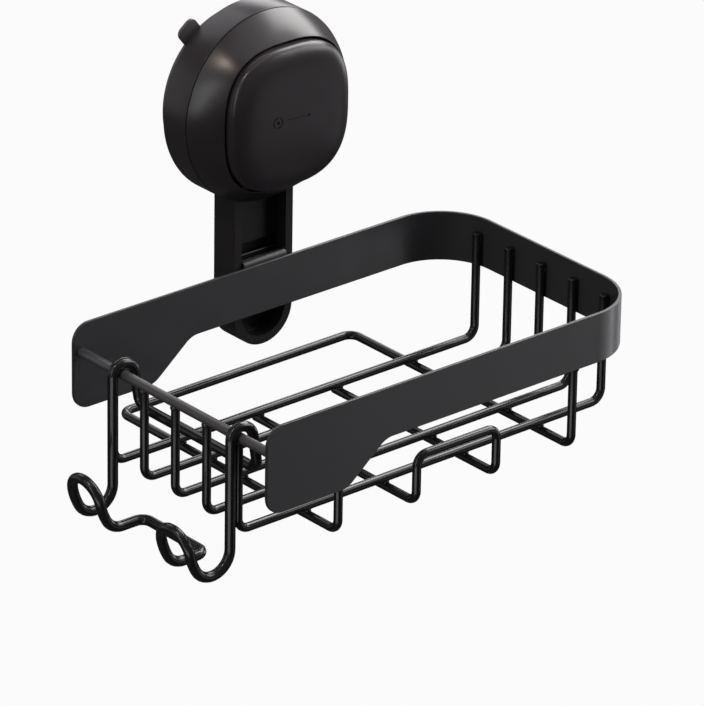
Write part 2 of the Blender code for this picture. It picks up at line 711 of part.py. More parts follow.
def make_housing(wall):
    """Round shell: straight side wall, a dome, a squircle opening and screw bosses."""
    outer = dome_rings(HEAD_RADIUS, HOUSING_CREASE, OPENING_HALF, HOUSING_OPENING)
    inner = dome_rings(HOUSING_INSIDE, HOUSING_CREASE, OPENING_HALF, HOUSING_OPENING - HOUSING_LIP)
    rings = [squircle(HEAD_RADIUS, 2, HOUSING_RIM)]
    rings += outer
    rings += reversed(inner)
    rings.append(squircle(HOUSING_INSIDE, 2, HOUSING_RIM))
    shell = loft("housing_shell", rings, wall)
    smooth(shell)
    notch = ARM_HALF + CLEARANCE
    low = (-notch, -HEAD_RADIUS - OVERRUN, HOUSING_RIM - OVERRUN)
    high = (notch, -ARM_TOP_DROP, ARM_FRONT + CLEARANCE)
    cut(shell, block("arm_notch", low, high, wall))
    middle = (BOSS_BACK + BOSS_TOP) / 2
    for angle in BOSS_ANGLES:
        spot = (*polar(BOSS_REACH, angle), 0)
        boss = rod("boss", BOSS_RADIUS, BOSS_BACK, BOSS_TOP, wall, spot)
        join(shell, boss)
        reach = HOUSING_INSIDE + ROOT
        half = BOSS_RIB / 2
        outline = [(BOSS_REACH, -half), (reach, -half), (reach, half), (BOSS_REACH, half)]
        height = BOSS_TOP - BOSS_BACK - ROOT
        join(shell, plate("boss_rib", [outline], height, wall, (0, 0, middle), (0, 0, angle)))
    depth = SCREW_SEAT - CLEARANCE + SCREW_LENGTH + CLEARANCE
    for angle in BOSS_ANGLES:
        spot = (*polar(BOSS_REACH, angle), 0)
        cut(shell, rod("boss_hole", SCREW_HOLE, BOSS_BACK - OVERRUN, depth, wall, spot))
    paint_plastic(shell)


def screw_profile(head_radius, head_low, head_high, tip):
    """Profile of a screw whose tip is either above or below its head."""
    if tip > head_high:
        return [
            (0, tip),
            (SCREW_RADIUS, tip),
            (SCREW_RADIUS, head_high),
            (head_radius, head_high),
            (head_radius, head_low),
            (0, head_low),
        ]
    return [
        (0, head_high),
        (head_radius, head_high),
        (head_radius, head_low),
        (SCREW_RADIUS, head_low),
        (SCREW_RADIUS, tip),
        (0, tip),
    ]


def make_screws(wall):
    """Three screws from behind into the housing, two from the front through the arm's tongue."""
    head_top = SCREW_SEAT - CLEARANCE
    head_low = head_top - SCREW_HEAD_THICKNESS
    profile = screw_profile(SCREW_HEAD_RADIUS, head_low, head_top, head_top + SCREW_LENGTH)
    for number, angle in enumerate(BOSS_ANGLES, 1):
        spot = (*polar(BOSS_REACH, angle), 0)
        paint_steel(turned(f"housing_screw_{number}", profile, wall, spot, steps=SMALL_STEPS))
    seat = PLATE_FRONT + CLEARANCE + TONGUE_THICKNESS + CLEARANCE
    tip = PLATE_BACK + ARM_SCREW_TIP_GAP
    profile = screw_profile(ARM_SCREW_HEAD_RADIUS, seat, seat + ARM_SCREW_HEAD_THICKNESS, tip)
    for word, side in (("left", -1), ("right", 1)):
        spot = (side * ARM_SCREW_SPREAD, -ARM_SCREW_DROP, 0)
        paint_steel(turned("arm_screw_" + word, profile, wall, spot, steps=SMALL_STEPS))


def slot_outline(half, top):
    """A strip with a round lower end about the arm's end centre."""
    low = (0, -ARM_END_DROP)
    return [(half, -top), (-half, -top)] + arc(low, half, math.pi, 2 * math.pi, SMALL_STEPS)


def span(low, high):
    """Thickness and middle of a slab between two heights."""
    return high - low, (low + high) / 2


def make_arm(wall):
    """Channel below the head, with the plate that the basket's tab hangs on."""
    depth, middle = span(ARM_BACK, ARM_FRONT)
    arm = plate("arm", [slot_outline(ARM_HALF, ARM_TOP_DROP)], depth, wall, (0, 0, middle))
    tongue_back = PLATE_FRONT + CLEARANCE
    root_back = (ARM_BACK + tongue_back) / 2
    low = (-TONGUE_WIDTH / 2, -ARM_TOP_DROP - ROOT, root_back)
    high = (TONGUE_WIDTH / 2, -TONGUE_TOP_DROP, tongue_back + TONGUE_THICKNESS)
    join(arm, block("tongue", low, high, wall))
    low = (-ARM_WIDTH, -ARM_STEP_DROP, ARM_BACK - OVERRUN)
    high = (ARM_WIDTH, -TONGUE_TOP_DROP + OVERRUN, tongue_back)
    cut(arm, block("back_step", low, high, wall))
    depth, middle = span(POCKET_FLOOR, ARM_FRONT + OVERRUN)
    cut(arm, plate("pocket", [slot_outline(RECESS_HALF, ARM_POCKET_DROP)], depth, wall, (0, 0, middle)))
    low = (-RECESS_HALF, -ARM_POCKET_DROP - ROOT, RECESS_FLOOR)
    high = (RECESS_HALF, -ARM_TOP_DROP + OVERRUN, ARM_FRONT + OVERRUN)
    cut(arm, block("recess", low, high, wall))
    depth, middle = span(ARM_BACK - OVERRUN, CHANNEL_ROOF)
    cut(arm, plate("channel", [slot_outline(RECESS_HALF, ARM_CHANNEL_DROP)], depth, wall, (0, 0, middle)))
    half = HANGER_THICKNESS / 2
    crest = (HANGER_BACK + half, TAB_ROLL_HEIGHT - BASKET_DROP)
    foot = crest[1] - HANGER_HEIGHT
    outline = arc(crest, half, 0, math.pi, SMALL_STEPS // 2)
    outline += [(crest[0] - half, foot), (crest[0] + half, foot)]
    width = 2 * (RECESS_HALF + ROOT)
    hanger = plate("hanger", [[(-out, up) for out, up in outline]], width, wall, rotation=(0, math.pi / 2, 0))
    join(arm, hanger)
    for side in (-1, 1):
        spot = (side * ARM_SCREW_SPREAD, -ARM_SCREW_DROP, 0)
        cut(arm, rod("tongue_hole", SCREW_HOLE, ARM_BACK, ARM_FRONT, wall, spot))
    paint_plastic(arm)


def make_foot_pad(wall):
    """Rubber foot in the channel's lower end, level with the suction pad's face."""
    top = CHANNEL_ROOF - CLEARANCE
    profile = [
        (0, top),
        (FOOT_PAD_RADIUS, top),
        (FOOT_PAD_RADIUS, FOOT_PAD_CHAMFER),
        (FOOT_PAD_RADIUS - FOOT_PAD_CHAMFER, 0),
        (0, 0),
    ]
    foot = turned("foot_pad", profile, wall, (0, -ARM_END_DROP, 0), steps=SMALL_STEPS)
    paint_rubber(foot)


def band_plan():
    """The band seen from above: a U of sheet, open at the left."""
    left = -BAND_LEFT_REACH - OVERRUN
    outer = BAND_CORNER_RADIUS
    inner = outer - BAND_THICKNESS
    turn_x = BAND_RIGHT_REACH - outer
    back_y = BAND_THICKNESS - outer
    front_y = -BASKET_DEPTH - back_y
    steps = 2 * BEND_STEPS
    outline = [(left, BAND_THICKNESS)]
    outline += arc((turn_x, back_y), outer, math.pi / 2, 0, steps)
    outline += arc((turn_x, front_y), outer, 0, -math.pi / 2, steps)
    outline += [(left, -BASKET_DEPTH - BAND_THICKNESS), (left, -BASKET_DEPTH)]
    outline += arc((turn_x, front_y), inner, -math.pi / 2, 0, steps)
    outline += arc((turn_x, back_y), inner, 0, math.pi / 2, steps)
    outline.append((left, 0))
    return outline


def band_side():
    """The band seen from the front: round left end, deep there, then a flare to a narrow strip."""
    left = -BAND_LEFT_REACH
    right = BAND_RIGHT_REACH + OVERRUN
    top_left = (left, BAND_TOP)
    low_left = (left, -BAND_WIDE_DROP)
    flare = [(BAND_FLARE_START, -BAND_WIDE_DROP), (BAND_FLARE_END, -BAND_NARROW_DROP)]
    low_right = (right, -BAND_NARROW_DROP)
    outline = [(right, BAND_TOP)]
    outline += fillet(outline[0], top_left, low_left, BAND_END_RADIUS, SMALL_STEPS // 3)
    outline += fillet(top_left, low_left, flare[0], BAND_END_RADIUS, SMALL_STEPS // 3)
    outline += fillet(low_left, flare[0], flare[1], BAND_FLARE_RADIUS)
    outline += fillet(flare[0], flare[1], low_right, BAND_FLARE_RADIUS)
    outline.append(low_right)
    return outline


def tab_outline():
    """The hook tab from the side: up from the band, over and down, as (y, z)."""
    centre = (TAB_ROLL_REACH, TAB_ROLL_HEIGHT)
    outer = TAB_BEND_RADIUS + BAND_THICKNESS
    low = BAND_TOP - ROOT
    leg = TAB_ROLL_HEIGHT - TAB_LEG
    outline = [(0, low)]
    outline += arc(centre, outer, math.pi, 0, 2 * BEND_STEPS)
    outline += [(centre[0] + outer, leg), (centre[0] + TAB_BEND_RADIUS, leg)]
    outline += arc(centre, TAB_BEND_RADIUS, 0, math.pi, 2 * BEND_STEPS)
    outline.append((BAND_THICKNESS, low))
    return outline


def make_band(basket):
    """Flat strip round three sides, with the hook tab at its back."""
    depth, middle = span(-BAND_WIDE_DROP - OVERRUN, BAND_TOP + OVERRUN)
    band = plate("band", [band_plan()], depth, basket, (0, 0, middle))
    depth, middle = span(-BASKET_DEPTH - BAND_THICKNESS - OVERRUN, BAND_THICKNESS + OVERRUN)
    side = plate("band_side", [band_side()], depth, basket, (0, middle, 0), (math.pi / 2, 0, 0))
    combine(band, side, "INTERSECT")
    upright = (math.pi / 2, 0, math.pi / 2)
    tab = plate("tab", [tab_outline()], 2 * TAB_HALF, basket, (BASKET_HEAD_REACH, 0, 0), upright)
    join(band, tab)
    paint_metal(band)


def make_cross_bar(basket):
    """Round bar between the band's two left ends."""
    high = BASKET_DEPTH - CLEARANCE
    bar = rod("cross_bar", CROSS_BAR_RADIUS, CLEARANCE, high, basket, rotation=(math.pi / 2, 0, 0))
    smooth(bar)
    paint_metal(bar)


def rack_reach(offset):
    """How far along a wire stands when it just clears the band's right run or its corner."""
    into_corner = max(0, abs(offset) - BASKET_DEPTH / 2 + CORNER_INSIDE)
    room = CORNER_INSIDE - WIRE_RADIUS - CLEARANCE
    return BAND_RIGHT_REACH - BAND_CORNER_RADIUS + math.sqrt(room**2 - into_corner**2)


def make_rack_wires(basket):
    """Five long wires: down from the cross bar, along, and up inside the band."""
    top = -CROSS_BAR_RADIUS - CLEARANCE
    for number in range(RACK_WIRES):
        offset = (number - (RACK_WIRES - 1) / 2) * RACK_PITCH
        right = rack_reach(offset)
        corners = [(0, 0, top), (0, 0, -RACK_DROP), (right, 0, -RACK_DROP), (right, 0, RACK_TOP)]
        route = rounded_run(corners, WIRE_BEND)
        spot = (0, -BASKET_DEPTH / 2 - offset, 0)
        paint_metal(tube(f"rack_wire_{number + 1}", route, WIRE_RADIUS, basket, location=spot))


def make_base_frame(basket):
    """The outer cross wires and the rear run that bears on the wall, one bent wire."""
    left = BASE_CENTRE - BASE_HALF_SPREAD
    right = BASE_CENTRE + BASE_HALF_SPREAD
    rear = BASKET_WALL_GAP - BASE_WALL_GAP - WIRE_RADIUS
    corners = [
        (left, -FRONT_PLANE, -BASE_TOP_DROP),
        (left, -FRONT_PLANE, -LOOP_DROP),
        (left, rear, -LOOP_DROP),
        (right, rear, -LOOP_DROP),
        (right, -FRONT_PLANE, -LOOP_DROP),
        (right, -FRONT_PLANE, -BASE_TOP_DROP),
    ]
    paint_metal(tube("base_frame", rounded_run(corners, LOOP_BEND), WIRE_RADIUS, basket))


def make_bridge_loop(basket):
    """The two inner cross wires and the raised bridge in front, one bent wire."""
    left = BASE_CENTRE - BRIDGE_HALF_SPREAD
    right = BASE_CENTRE + BRIDGE_HALF_SPREAD
    first_wire = -BASKET_DEPTH / 2 + (RACK_WIRES - 1) / 2 * RACK_PITCH
    rear = first_wire + BRIDGE_REAR_PROUD
    corners = [
        (left, rear, -LOOP_DROP),
        (left, -FRONT_PLANE, -LOOP_DROP),
        (left, -FRONT_PLANE, -BRIDGE_DROP),
        (right, -FRONT_PLANE, -BRIDGE_DROP),
        (right, -FRONT_PLANE, -LOOP_DROP),
        (right, rear, -LOOP_DROP),
    ]
    paint_metal(tube("bridge_loop", rounded_run(corners, LOOP_BEND), WIRE_RADIUS, basket))


def hook_half():
    """Half of the hook wire, from the middle of the inner bar to the middle of the cross run.

    Points are (x, across, z), where across grows from the hook's middle outwards.
    """
    outside = HOOK_HALF_SPREAD
    inside = outside - 2 * HOOK_HAIRPIN_RADIUS
    over = (0, HOOK_OUT - HOOK_OVER_RADIUS)
    slant = arc(over, HOOK_OVER_RADIUS, HOOK_SLANT, math.pi / 2, 2 * BEND_STEPS)
    slant_top = slant[0]
    fall = slant_top[1] + HOOK_INNER_DROP
    foot = (slant_top[0] + fall * math.tan(HOOK_SLANT), -HOOK_INNER_DROP)
    corner = (foot[0], outside, foot[1])
    above = (slant_top[0], outside, slant_top[1])
    route = fillet((foot[0], 0, foot[1]), corner, above, HOOK_INNER_BEND)
    down = slant + arc((0, 0), HOOK_OUT, math.pi / 2, math.pi, 2 * BEND_STEPS)[1:]
    bottom = (-HOOK_OUT - HOOK_U_RADIUS, -HOOK_U_DROP)
    low = -(math.pi - HOOK_LEAN_LOW)
    down += arc(bottom, HOOK_U_RADIUS, 0, low, 3 * BEND_STEPS)
    unbend = HOOK_LEG / (HOOK_LEAN_LOW - HOOK_LEAN_HIGH)
    back, rise = polar(HOOK_U_RADIUS - unbend, low)
    swing = (bottom[0] + back, bottom[1] + rise)
    leg = arc(swing, unbend, low, low - HOOK_LEAN_LOW + HOOK_LEAN_HIGH, BEND_STEPS)[1:]
    down += leg
    route += [Vector((x, outside, z)) for x, z in down]
    hinge = Vector((down[-1][0], outside - HOOK_HAIRPIN_RADIUS, down[-1][1]))
    upwards = Vector((-math.sin(HOOK_LEAN_HIGH), 0, math.cos(HOOK_LEAN_HIGH)))
    sideways = Vector((0, 1, 0))
    for across, up in arc((0, 0), HOOK_HAIRPIN_RADIUS, 0, math.pi, 3 * BEND_STEPS)[1:-1]:
        route.append(hinge + sideways * across + upwards * up)
    return_leg = list(reversed(leg)) + arc(bottom, HOOK_U_RADIUS, low, -math.pi / 2, 2 * BEND_STEPS)
    route += [Vector((x, inside, z)) for x, z in return_leg]
    level = bottom[1] - HOOK_U_RADIUS
    turn = (-HOOK_CROSS_OUT, inside, level)
    route += fillet((bottom[0], inside, level), turn, (-HOOK_CROSS_OUT, 0, level), HOOK_CROSS_BEND)
    return route


def make_double_hook(basket):
    """One closed wire: two hairpin hooks that hang over the cross bar."""
    half = hook_half()
    front = [(spot[0], -HOOK_MIDDLE - spot[1], spot[2]) for spot in half]
    rear = [(spot[0], -HOOK_MIDDLE + spot[1], spot[2]) for spot in reversed(half)]
    paint_metal(tube("double_hook", front + rear, HOOK_WIRE_RADIUS, basket, closed=True))


def main():
    wall = make_frame("wall_frame", rotation=(math.pi / 2, 0, 0))
    make_suction_pad(wall)
    make_base_plate(wall)
    make_stem(make_frame("stem_slide", parent=wall))
    make_levers(wall)
    button = make_frame("button_slide", parent=wall)
    make_button(button)
    make_carrier(button)
    make_springs(wall)
    make_housing(wall)
    make_screws(wall)
    make_arm(wall)
    make_foot_pad(wall)
    basket = make_frame("basket_frame", (-BASKET_HEAD_REACH, -BASKET_WALL_GAP, -BASKET_DROP))
    make_band(basket)
    make_cross_bar(basket)
    make_rack_wires(basket)
    make_base_frame(basket)
    make_bridge_loop(basket)
    make_double_hook(basket)


main()
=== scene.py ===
import json
import math

import bmesh
import bpy
from mathutils import Matrix, Vector

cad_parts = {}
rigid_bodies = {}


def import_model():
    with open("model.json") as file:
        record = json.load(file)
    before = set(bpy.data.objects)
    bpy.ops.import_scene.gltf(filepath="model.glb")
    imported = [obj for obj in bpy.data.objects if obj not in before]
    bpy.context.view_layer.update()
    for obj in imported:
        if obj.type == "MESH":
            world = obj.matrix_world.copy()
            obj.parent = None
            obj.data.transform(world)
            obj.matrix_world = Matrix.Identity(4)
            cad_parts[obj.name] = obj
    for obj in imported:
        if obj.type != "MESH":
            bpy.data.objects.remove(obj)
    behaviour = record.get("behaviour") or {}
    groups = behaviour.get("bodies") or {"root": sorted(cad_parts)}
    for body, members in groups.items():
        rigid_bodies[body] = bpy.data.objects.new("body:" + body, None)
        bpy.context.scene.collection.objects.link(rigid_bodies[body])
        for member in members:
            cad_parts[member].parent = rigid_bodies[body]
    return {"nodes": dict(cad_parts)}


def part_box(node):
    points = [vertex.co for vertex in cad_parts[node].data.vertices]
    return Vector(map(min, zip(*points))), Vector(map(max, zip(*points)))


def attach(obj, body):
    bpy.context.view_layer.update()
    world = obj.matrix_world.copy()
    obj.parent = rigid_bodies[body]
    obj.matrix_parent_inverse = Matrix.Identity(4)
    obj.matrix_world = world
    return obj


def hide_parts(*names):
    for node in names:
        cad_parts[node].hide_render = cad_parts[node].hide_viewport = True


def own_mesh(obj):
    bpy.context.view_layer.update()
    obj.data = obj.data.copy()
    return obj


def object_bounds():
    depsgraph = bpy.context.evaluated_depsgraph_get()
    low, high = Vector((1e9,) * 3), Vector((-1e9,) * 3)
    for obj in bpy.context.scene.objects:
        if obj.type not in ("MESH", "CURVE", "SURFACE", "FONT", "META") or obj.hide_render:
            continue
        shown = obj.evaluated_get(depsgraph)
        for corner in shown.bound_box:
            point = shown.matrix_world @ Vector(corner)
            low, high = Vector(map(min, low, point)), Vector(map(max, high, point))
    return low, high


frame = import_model()  # nodes of the imported dish
cadBox = [list(corner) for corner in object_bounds()]

meshing = {
    "weld": 0.00001,  # points nearer than this become one
    "cut": 0.000001,
    "sharpAngle": 40,  # degrees, and gentler edges are shaded smooth
    "easeSegments": 3,
}


# Small makers that the pieces share

def addPiece(name, data):
    piece = bpy.data.objects.new(name, data)
    bpy.context.scene.collection.objects.link(piece)
    return piece


def pieceFrom(name, work):
    mesh = bpy.data.meshes.new(name)
    work.to_mesh(mesh)
    work.free()
    return addPiece(name, mesh)


def baked(piece):  # what the modifiers show becomes a plain mesh at the origin
    bpy.context.view_layer.update()
    graph = bpy.context.evaluated_depsgraph_get()
    mesh = bpy.data.meshes.new_from_object(piece.evaluated_get(graph), depsgraph=graph)
    mesh.transform(piece.matrix_world)
    name = piece.name
    bpy.data.objects.remove(piece, do_unlink=True)
    mesh.name = name
    return addPiece(name, mesh)


def reshaped(piece, change):
    work = bmesh.new()
    work.from_mesh(piece.data)
    change(work)
    work.to_mesh(piece.data)
    work.free()
    return piece


def wallPoint(right, up, out):  # out is the distance from the wall
    return Vector((right, -out, up))


def portions(steps):
    return [step / steps for step in range(steps + 1)]


def quarterTurn(steps):  # sine and cosine over a right angle
    return [(math.sin(math.pi / 2 * share), math.cos(math.pi / 2 * share)) for share in portions(steps)]


def arcPoints(centre, radius, start, end, steps):
    x, y = centre
    angles = [start + (end - start) * share for share in portions(steps)]
    return [(x + radius * math.cos(angle), y + radius * math.sin(angle)) for angle in angles]


def filletPoints(before, corner, after, radius, steps):
    before, corner, after = (Vector(point).to_3d() for point in (before, corner, after))
    back = (before - corner).normalized()
    onward = (after - corner).normalized()
    half = back.angle(onward) / 2
    centre = corner + (back + onward).normalized() * radius / math.sin(half)
    start = corner + back * radius / math.tan(half) - centre
    side = (-back - start.normalized() * -back.dot(start.normalized())).normalized() * radius
    sweep = math.pi - 2 * half
    return [
        centre + start * math.cos(sweep * share) + side * math.sin(sweep * share)
        for share in portions(steps)
    ]


def eased(points, rounds):  # an outline with rounded corners, each round a radius and its steps
    outline = []
    for index, (corner, bend) in enumerate(zip(points, rounds)):
        if bend:
            before, after = points[index - 1], points[(index + 1) % len(points)]
            outline += [spot.to_2d() for spot in filletPoints(before, corner, after, *bend)]
        else:
            outline.append(Vector(corner))
    return outline


def easedProfile(profile, radius, steps):  # its ends lie on the axis and stay
    return eased(profile, [None] + [(radius, steps)] * (len(profile) - 2) + [None])


def loftPiece(name, rings, firstTip=None, lastTip=None):  # without tips the last ring meets the first
    work = bmesh.new()
    rows = [[work.verts.new(spot) for spot in ring] for ring in rings]
    pairs = list(zip(rows, rows[1:]))
    if firstTip is None:
        pairs.append((rows[-1], rows[0]))
    count = len(rows[0])
    for near, far in pairs:
        for index in range(count):
            onward = (index + 1) % count
            work.faces.new((near[index], near[onward], far[onward], far[index]))
    for tip, row in ((firstTip, rows[0]), (lastTip, rows[-1])):
        if tip is not None:
            peak = work.verts.new(tip)
            for index in range(count):
                work.faces.new((row[index], row[(index + 1) % count], peak))
    bmesh.ops.recalc_face_normals(work, faces=work.faces)
    return pieceFrom(name, work)


def ringAt(radiusOf, out, steps, centre=(0, 0)):  # round an axis that stands off the wall
    ring = []
    for step in range(steps):
        angle = 2 * math.pi * step / steps
        radius = radiusOf(angle)
        right, up = centre[0] + radius * math.cos(angle), centre[1] + radius * math.sin(angle)
        ring.append(wallPoint(right, up, out))
    return ring


def turnedPiece(name, profile, centre, steps):  # profile of (radius, out), closed by tips on the axis
    rings = [ringAt(lambda angle: radius, out, steps, centre) for radius, out in profile[1:-1]]
    first, last = (wallPoint(*centre, profile[end][1]) for end in (0, -1))
    return loftPiece(name, rings, first, last)


def platePiece(name, outline, low, high, mapping=wallPoint):  # a flat outline between two heights
    work = bmesh.new()
    bottom = [work.verts.new(mapping(x, y, low)) for x, y in outline]
    top = [work.verts.new(mapping(x, y, high)) for x, y in outline]
    count = len(outline)
    work.faces.new(bottom)
    work.faces.new(top)
    for index in range(count):
        onward = (index + 1) % count
        work.faces.new((bottom[index], bottom[onward], top[onward], top[index]))
    bmesh.ops.recalc_face_normals(work, faces=work.faces)
    return pieceFrom(name, work)


def boxPiece(name, half, bottom, top, low, high):
    return platePiece(name, [(-half, bottom), (half, bottom), (half, top), (-half, top)], low, high)


def combine(target, tools, operation):
    for tool in tools:
        step = target.modifiers.new(tool.name, "BOOLEAN")
        step.operation = operation
        step.object = tool
    result = baked(target)
    for tool in tools:
        bpy.data.objects.remove(tool, do_unlink=True)
    return result


def easeEdges(piece, width, segments=meshing["easeSegments"]):  # real roundings that catch the light
    weld = piece.modifiers.new("weld", "WELD")
    weld.merge_threshold = meshing["weld"]
    bevel = piece.modifiers.new("ease", "BEVEL")
    bevel.width = width
    bevel.segments = segments
    bevel.limit_method = "ANGLE"
    bevel.angle_limit = math.radians(meshing["sharpAngle"])
    bevel.harden_normals = True
    bevel.miter_outer = "MITER_ARC"
    piece.data.shade_smooth()
    return baked(piece)


def smoothShaded(piece, angle=meshing["sharpAngle"]):
    piece.data.shade_smooth()
    piece.data.set_sharp_from_angle(angle=math.radians(angle))
    return piece


# Camera, fitted to the basket's straight wires

view = {
    "azimuth": 40.6764,  # degrees to the left of straight at the wall
    "elevation": 25.1435,
    "roll": 0.9423,
    "place": (-1.2257, -1.4884, 0.8090),
    "focalPixels": 6299.47,
    "longSidePixels": 706,
    "sensorWidth": 36.0,
    "reach": 50,
}


def makeCamera():
    azimuth, elevation, roll = (math.radians(view[key]) for key in ("azimuth", "elevation", "roll"))
    level = Vector((math.cos(azimuth), -math.sin(azimuth), 0))
    ahead = Vector((math.sin(azimuth), math.cos(azimuth), 0)) * math.cos(elevation)
    ahead.z = -math.sin(elevation)
    upright = level.cross(ahead)
    right = level * math.cos(roll) + upright * math.sin(roll)
    up = upright * math.cos(roll) - level * math.sin(roll)
    data = bpy.data.cameras.new("studioCamera")
    data.sensor_width = view["sensorWidth"]
    data.lens = view["focalPixels"] * view["sensorWidth"] / view["longSidePixels"]
    data.clip_end = view["reach"]
    camera = addPiece("studioCamera", data)
    turn = Matrix((right, up, -ahead)).transposed().to_4x4()
    camera.matrix_world = Matrix.Translation(view["place"]) @ turn
    bpy.context.scene.camera = camera


makeCamera()
print("camera placed")


# Node trees

mixColor = {"first": 6, "second": 7, "result": 2}  # sockets of a mix node, by what it mixes
mixValue = {"first": 2, "second": 3, "result": 0}


def addNode(tree, kind, place, **settings):
    node = tree.nodes.new(kind)
    node.location = place
    for key, value in settings.items():
        setattr(node, key, value)
    return node


def linkAll(tree, *links):  # each link is a node, its output, a node and its input
    for source, output, target, entry in links:
        tree.links.new(source.outputs[output], target.inputs[entry])


def makeTree(name, kind, inputs, outputs):  # sockets by label, each with its type
    tree = bpy.data.node_groups.new(name, kind)
    for direction, sockets in (("INPUT", inputs), ("OUTPUT", outputs)):
        for label, sort in sockets.items():
            tree.interface.new_socket(name=label, in_out=direction, socket_type="NodeSocket" + sort)
    return tree, addNode(tree, "NodeGroupInput", (-900, 0)), addNode(tree, "NodeGroupOutput", (900, 0))


def closeTree(tree, entry, source, leave):  # shaded smooth, made real and given its finish
    shade = addNode(tree, "GeometryNodeSetShadeSmooth", (100, 0))
    real = addNode(tree, "GeometryNodeRealizeInstances", (350, 0))
    paint = addNode(tree, "GeometryNodeSetMaterial", (600, 0))
    linkAll(tree, (source, 0, shade, 0), (shade, 0, real, 0), (real, 0, paint, 0))
    linkAll(tree, (entry, "Finish", paint, "Material"), (paint, 0, leave, 0))
    return tree


def grown(piece, tree, values):  # a tree's inputs are set by their identifiers
    modifier = piece.modifiers.new(tree.name, "NODES")
    modifier.node_group = tree
    for item in tree.interface.items_tree:
        if item.item_type == "SOCKET" and item.in_out == "INPUT" and item.name in values:
            modifier[item.identifier] = values[item.name]
    return baked(piece)


def makeSurfaceGroup():  # tone clouds, a fine moulded grain and patchy gloss
    tree, entry, leave = makeTree("satinSurface", "ShaderNodeTree", {
        "Vector": "Vector", "Tone": "Color", "Shade": "Color",
        "Cloud Scale": "Float", "Grain Scale": "Float", "Peel Scale": "Float", "Peel Share": "Float",
        "Low Roughness": "Float", "High Roughness": "Float",
    }, {"Color": "Color", "Roughness": "Float", "Height": "Float"})
    noises = []
    for scale, detail in (("Cloud Scale", 4), ("Grain Scale", 2), ("Peel Scale", 1)):
        noise = addNode(tree, "ShaderNodeTexNoise", (-600, 250 - 300 * len(noises)))
        noise.inputs["Detail"].default_value = detail
        linkAll(tree, (entry, "Vector", noise, "Vector"), (entry, scale, noise, "Scale"))
        noises.append(noise)
    clouds, grain, peel = noises
    tones = addNode(tree, "ShaderNodeMix", (-100, 300), data_type="RGBA")
    gloss = addNode(tree, "ShaderNodeMapRange", (-100, 0), interpolation_type="SMOOTHSTEP")
    gloss.inputs["From Min"].default_value = 0.3
    gloss.inputs["From Max"].default_value = 0.7
    heights = addNode(tree, "ShaderNodeMix", (-100, -300), data_type="FLOAT")
    linkAll(
        tree,
        (clouds, "Fac", tones, 0),
        (entry, "Tone", tones, mixColor["first"]),
        (entry, "Shade", tones, mixColor["second"]),
        (clouds, "Fac", gloss, "Value"),
        (entry, "Low Roughness", gloss, "To Min"),
        (entry, "High Roughness", gloss, "To Max"),
        (entry, "Peel Share", heights, 0),
        (grain, "Fac", heights, mixValue["first"]),
        (peel, "Fac", heights, mixValue["second"]),
        (tones, mixColor["result"], leave, "Color"),
        (gloss, "Result", leave, "Roughness"),
        (heights, mixValue["result"], leave, "Height"),
    )
    return tree


def makeSpeckGroup():  # a scatter of tiny dust specks over a finish
    tree, entry, leave = makeTree("dustSpecks", "ShaderNodeTree", {
        "Vector": "Vector", "Color": "Color", "Dust": "Color",
        "Speck Scale": "Float", "Speck Size": "Float", "Speck Amount": "Float",
    }, {"Color": "Color"})
    cells = addNode(tree, "ShaderNodeTexVoronoi", (-650, 100))
    near = addNode(tree, "ShaderNodeMath", (-400, 100), operation="LESS_THAN")
    dim = addNode(tree, "ShaderNodeMath", (-200, 100), operation="MULTIPLY")
    blend = addNode(tree, "ShaderNodeMix", (100, 0), data_type="RGBA")
    linkAll(
        tree,
        (entry, "Vector", cells, "Vector"),
        (entry, "Speck Scale", cells, "Scale"),
        (cells, "Distance", near, 0),
        (entry, "Speck Size", near, 1),
        (near, 0, dim, 0),
        (entry, "Speck Amount", dim, 1),
        (dim, 0, blend, 0),
        (entry, "Color", blend, mixColor["first"]),
        (entry, "Dust", blend, mixColor["second"]),
        (blend, mixColor["result"], leave, "Color"),
    )
    return tree


surfaceGroup = makeSurfaceGroup()
speckGroup = makeSpeckGroup()

# Finishes, each with the slot of the pieces that wear it; the other words are sockets of its nodes,
# where Strength and Distance belong to the bump

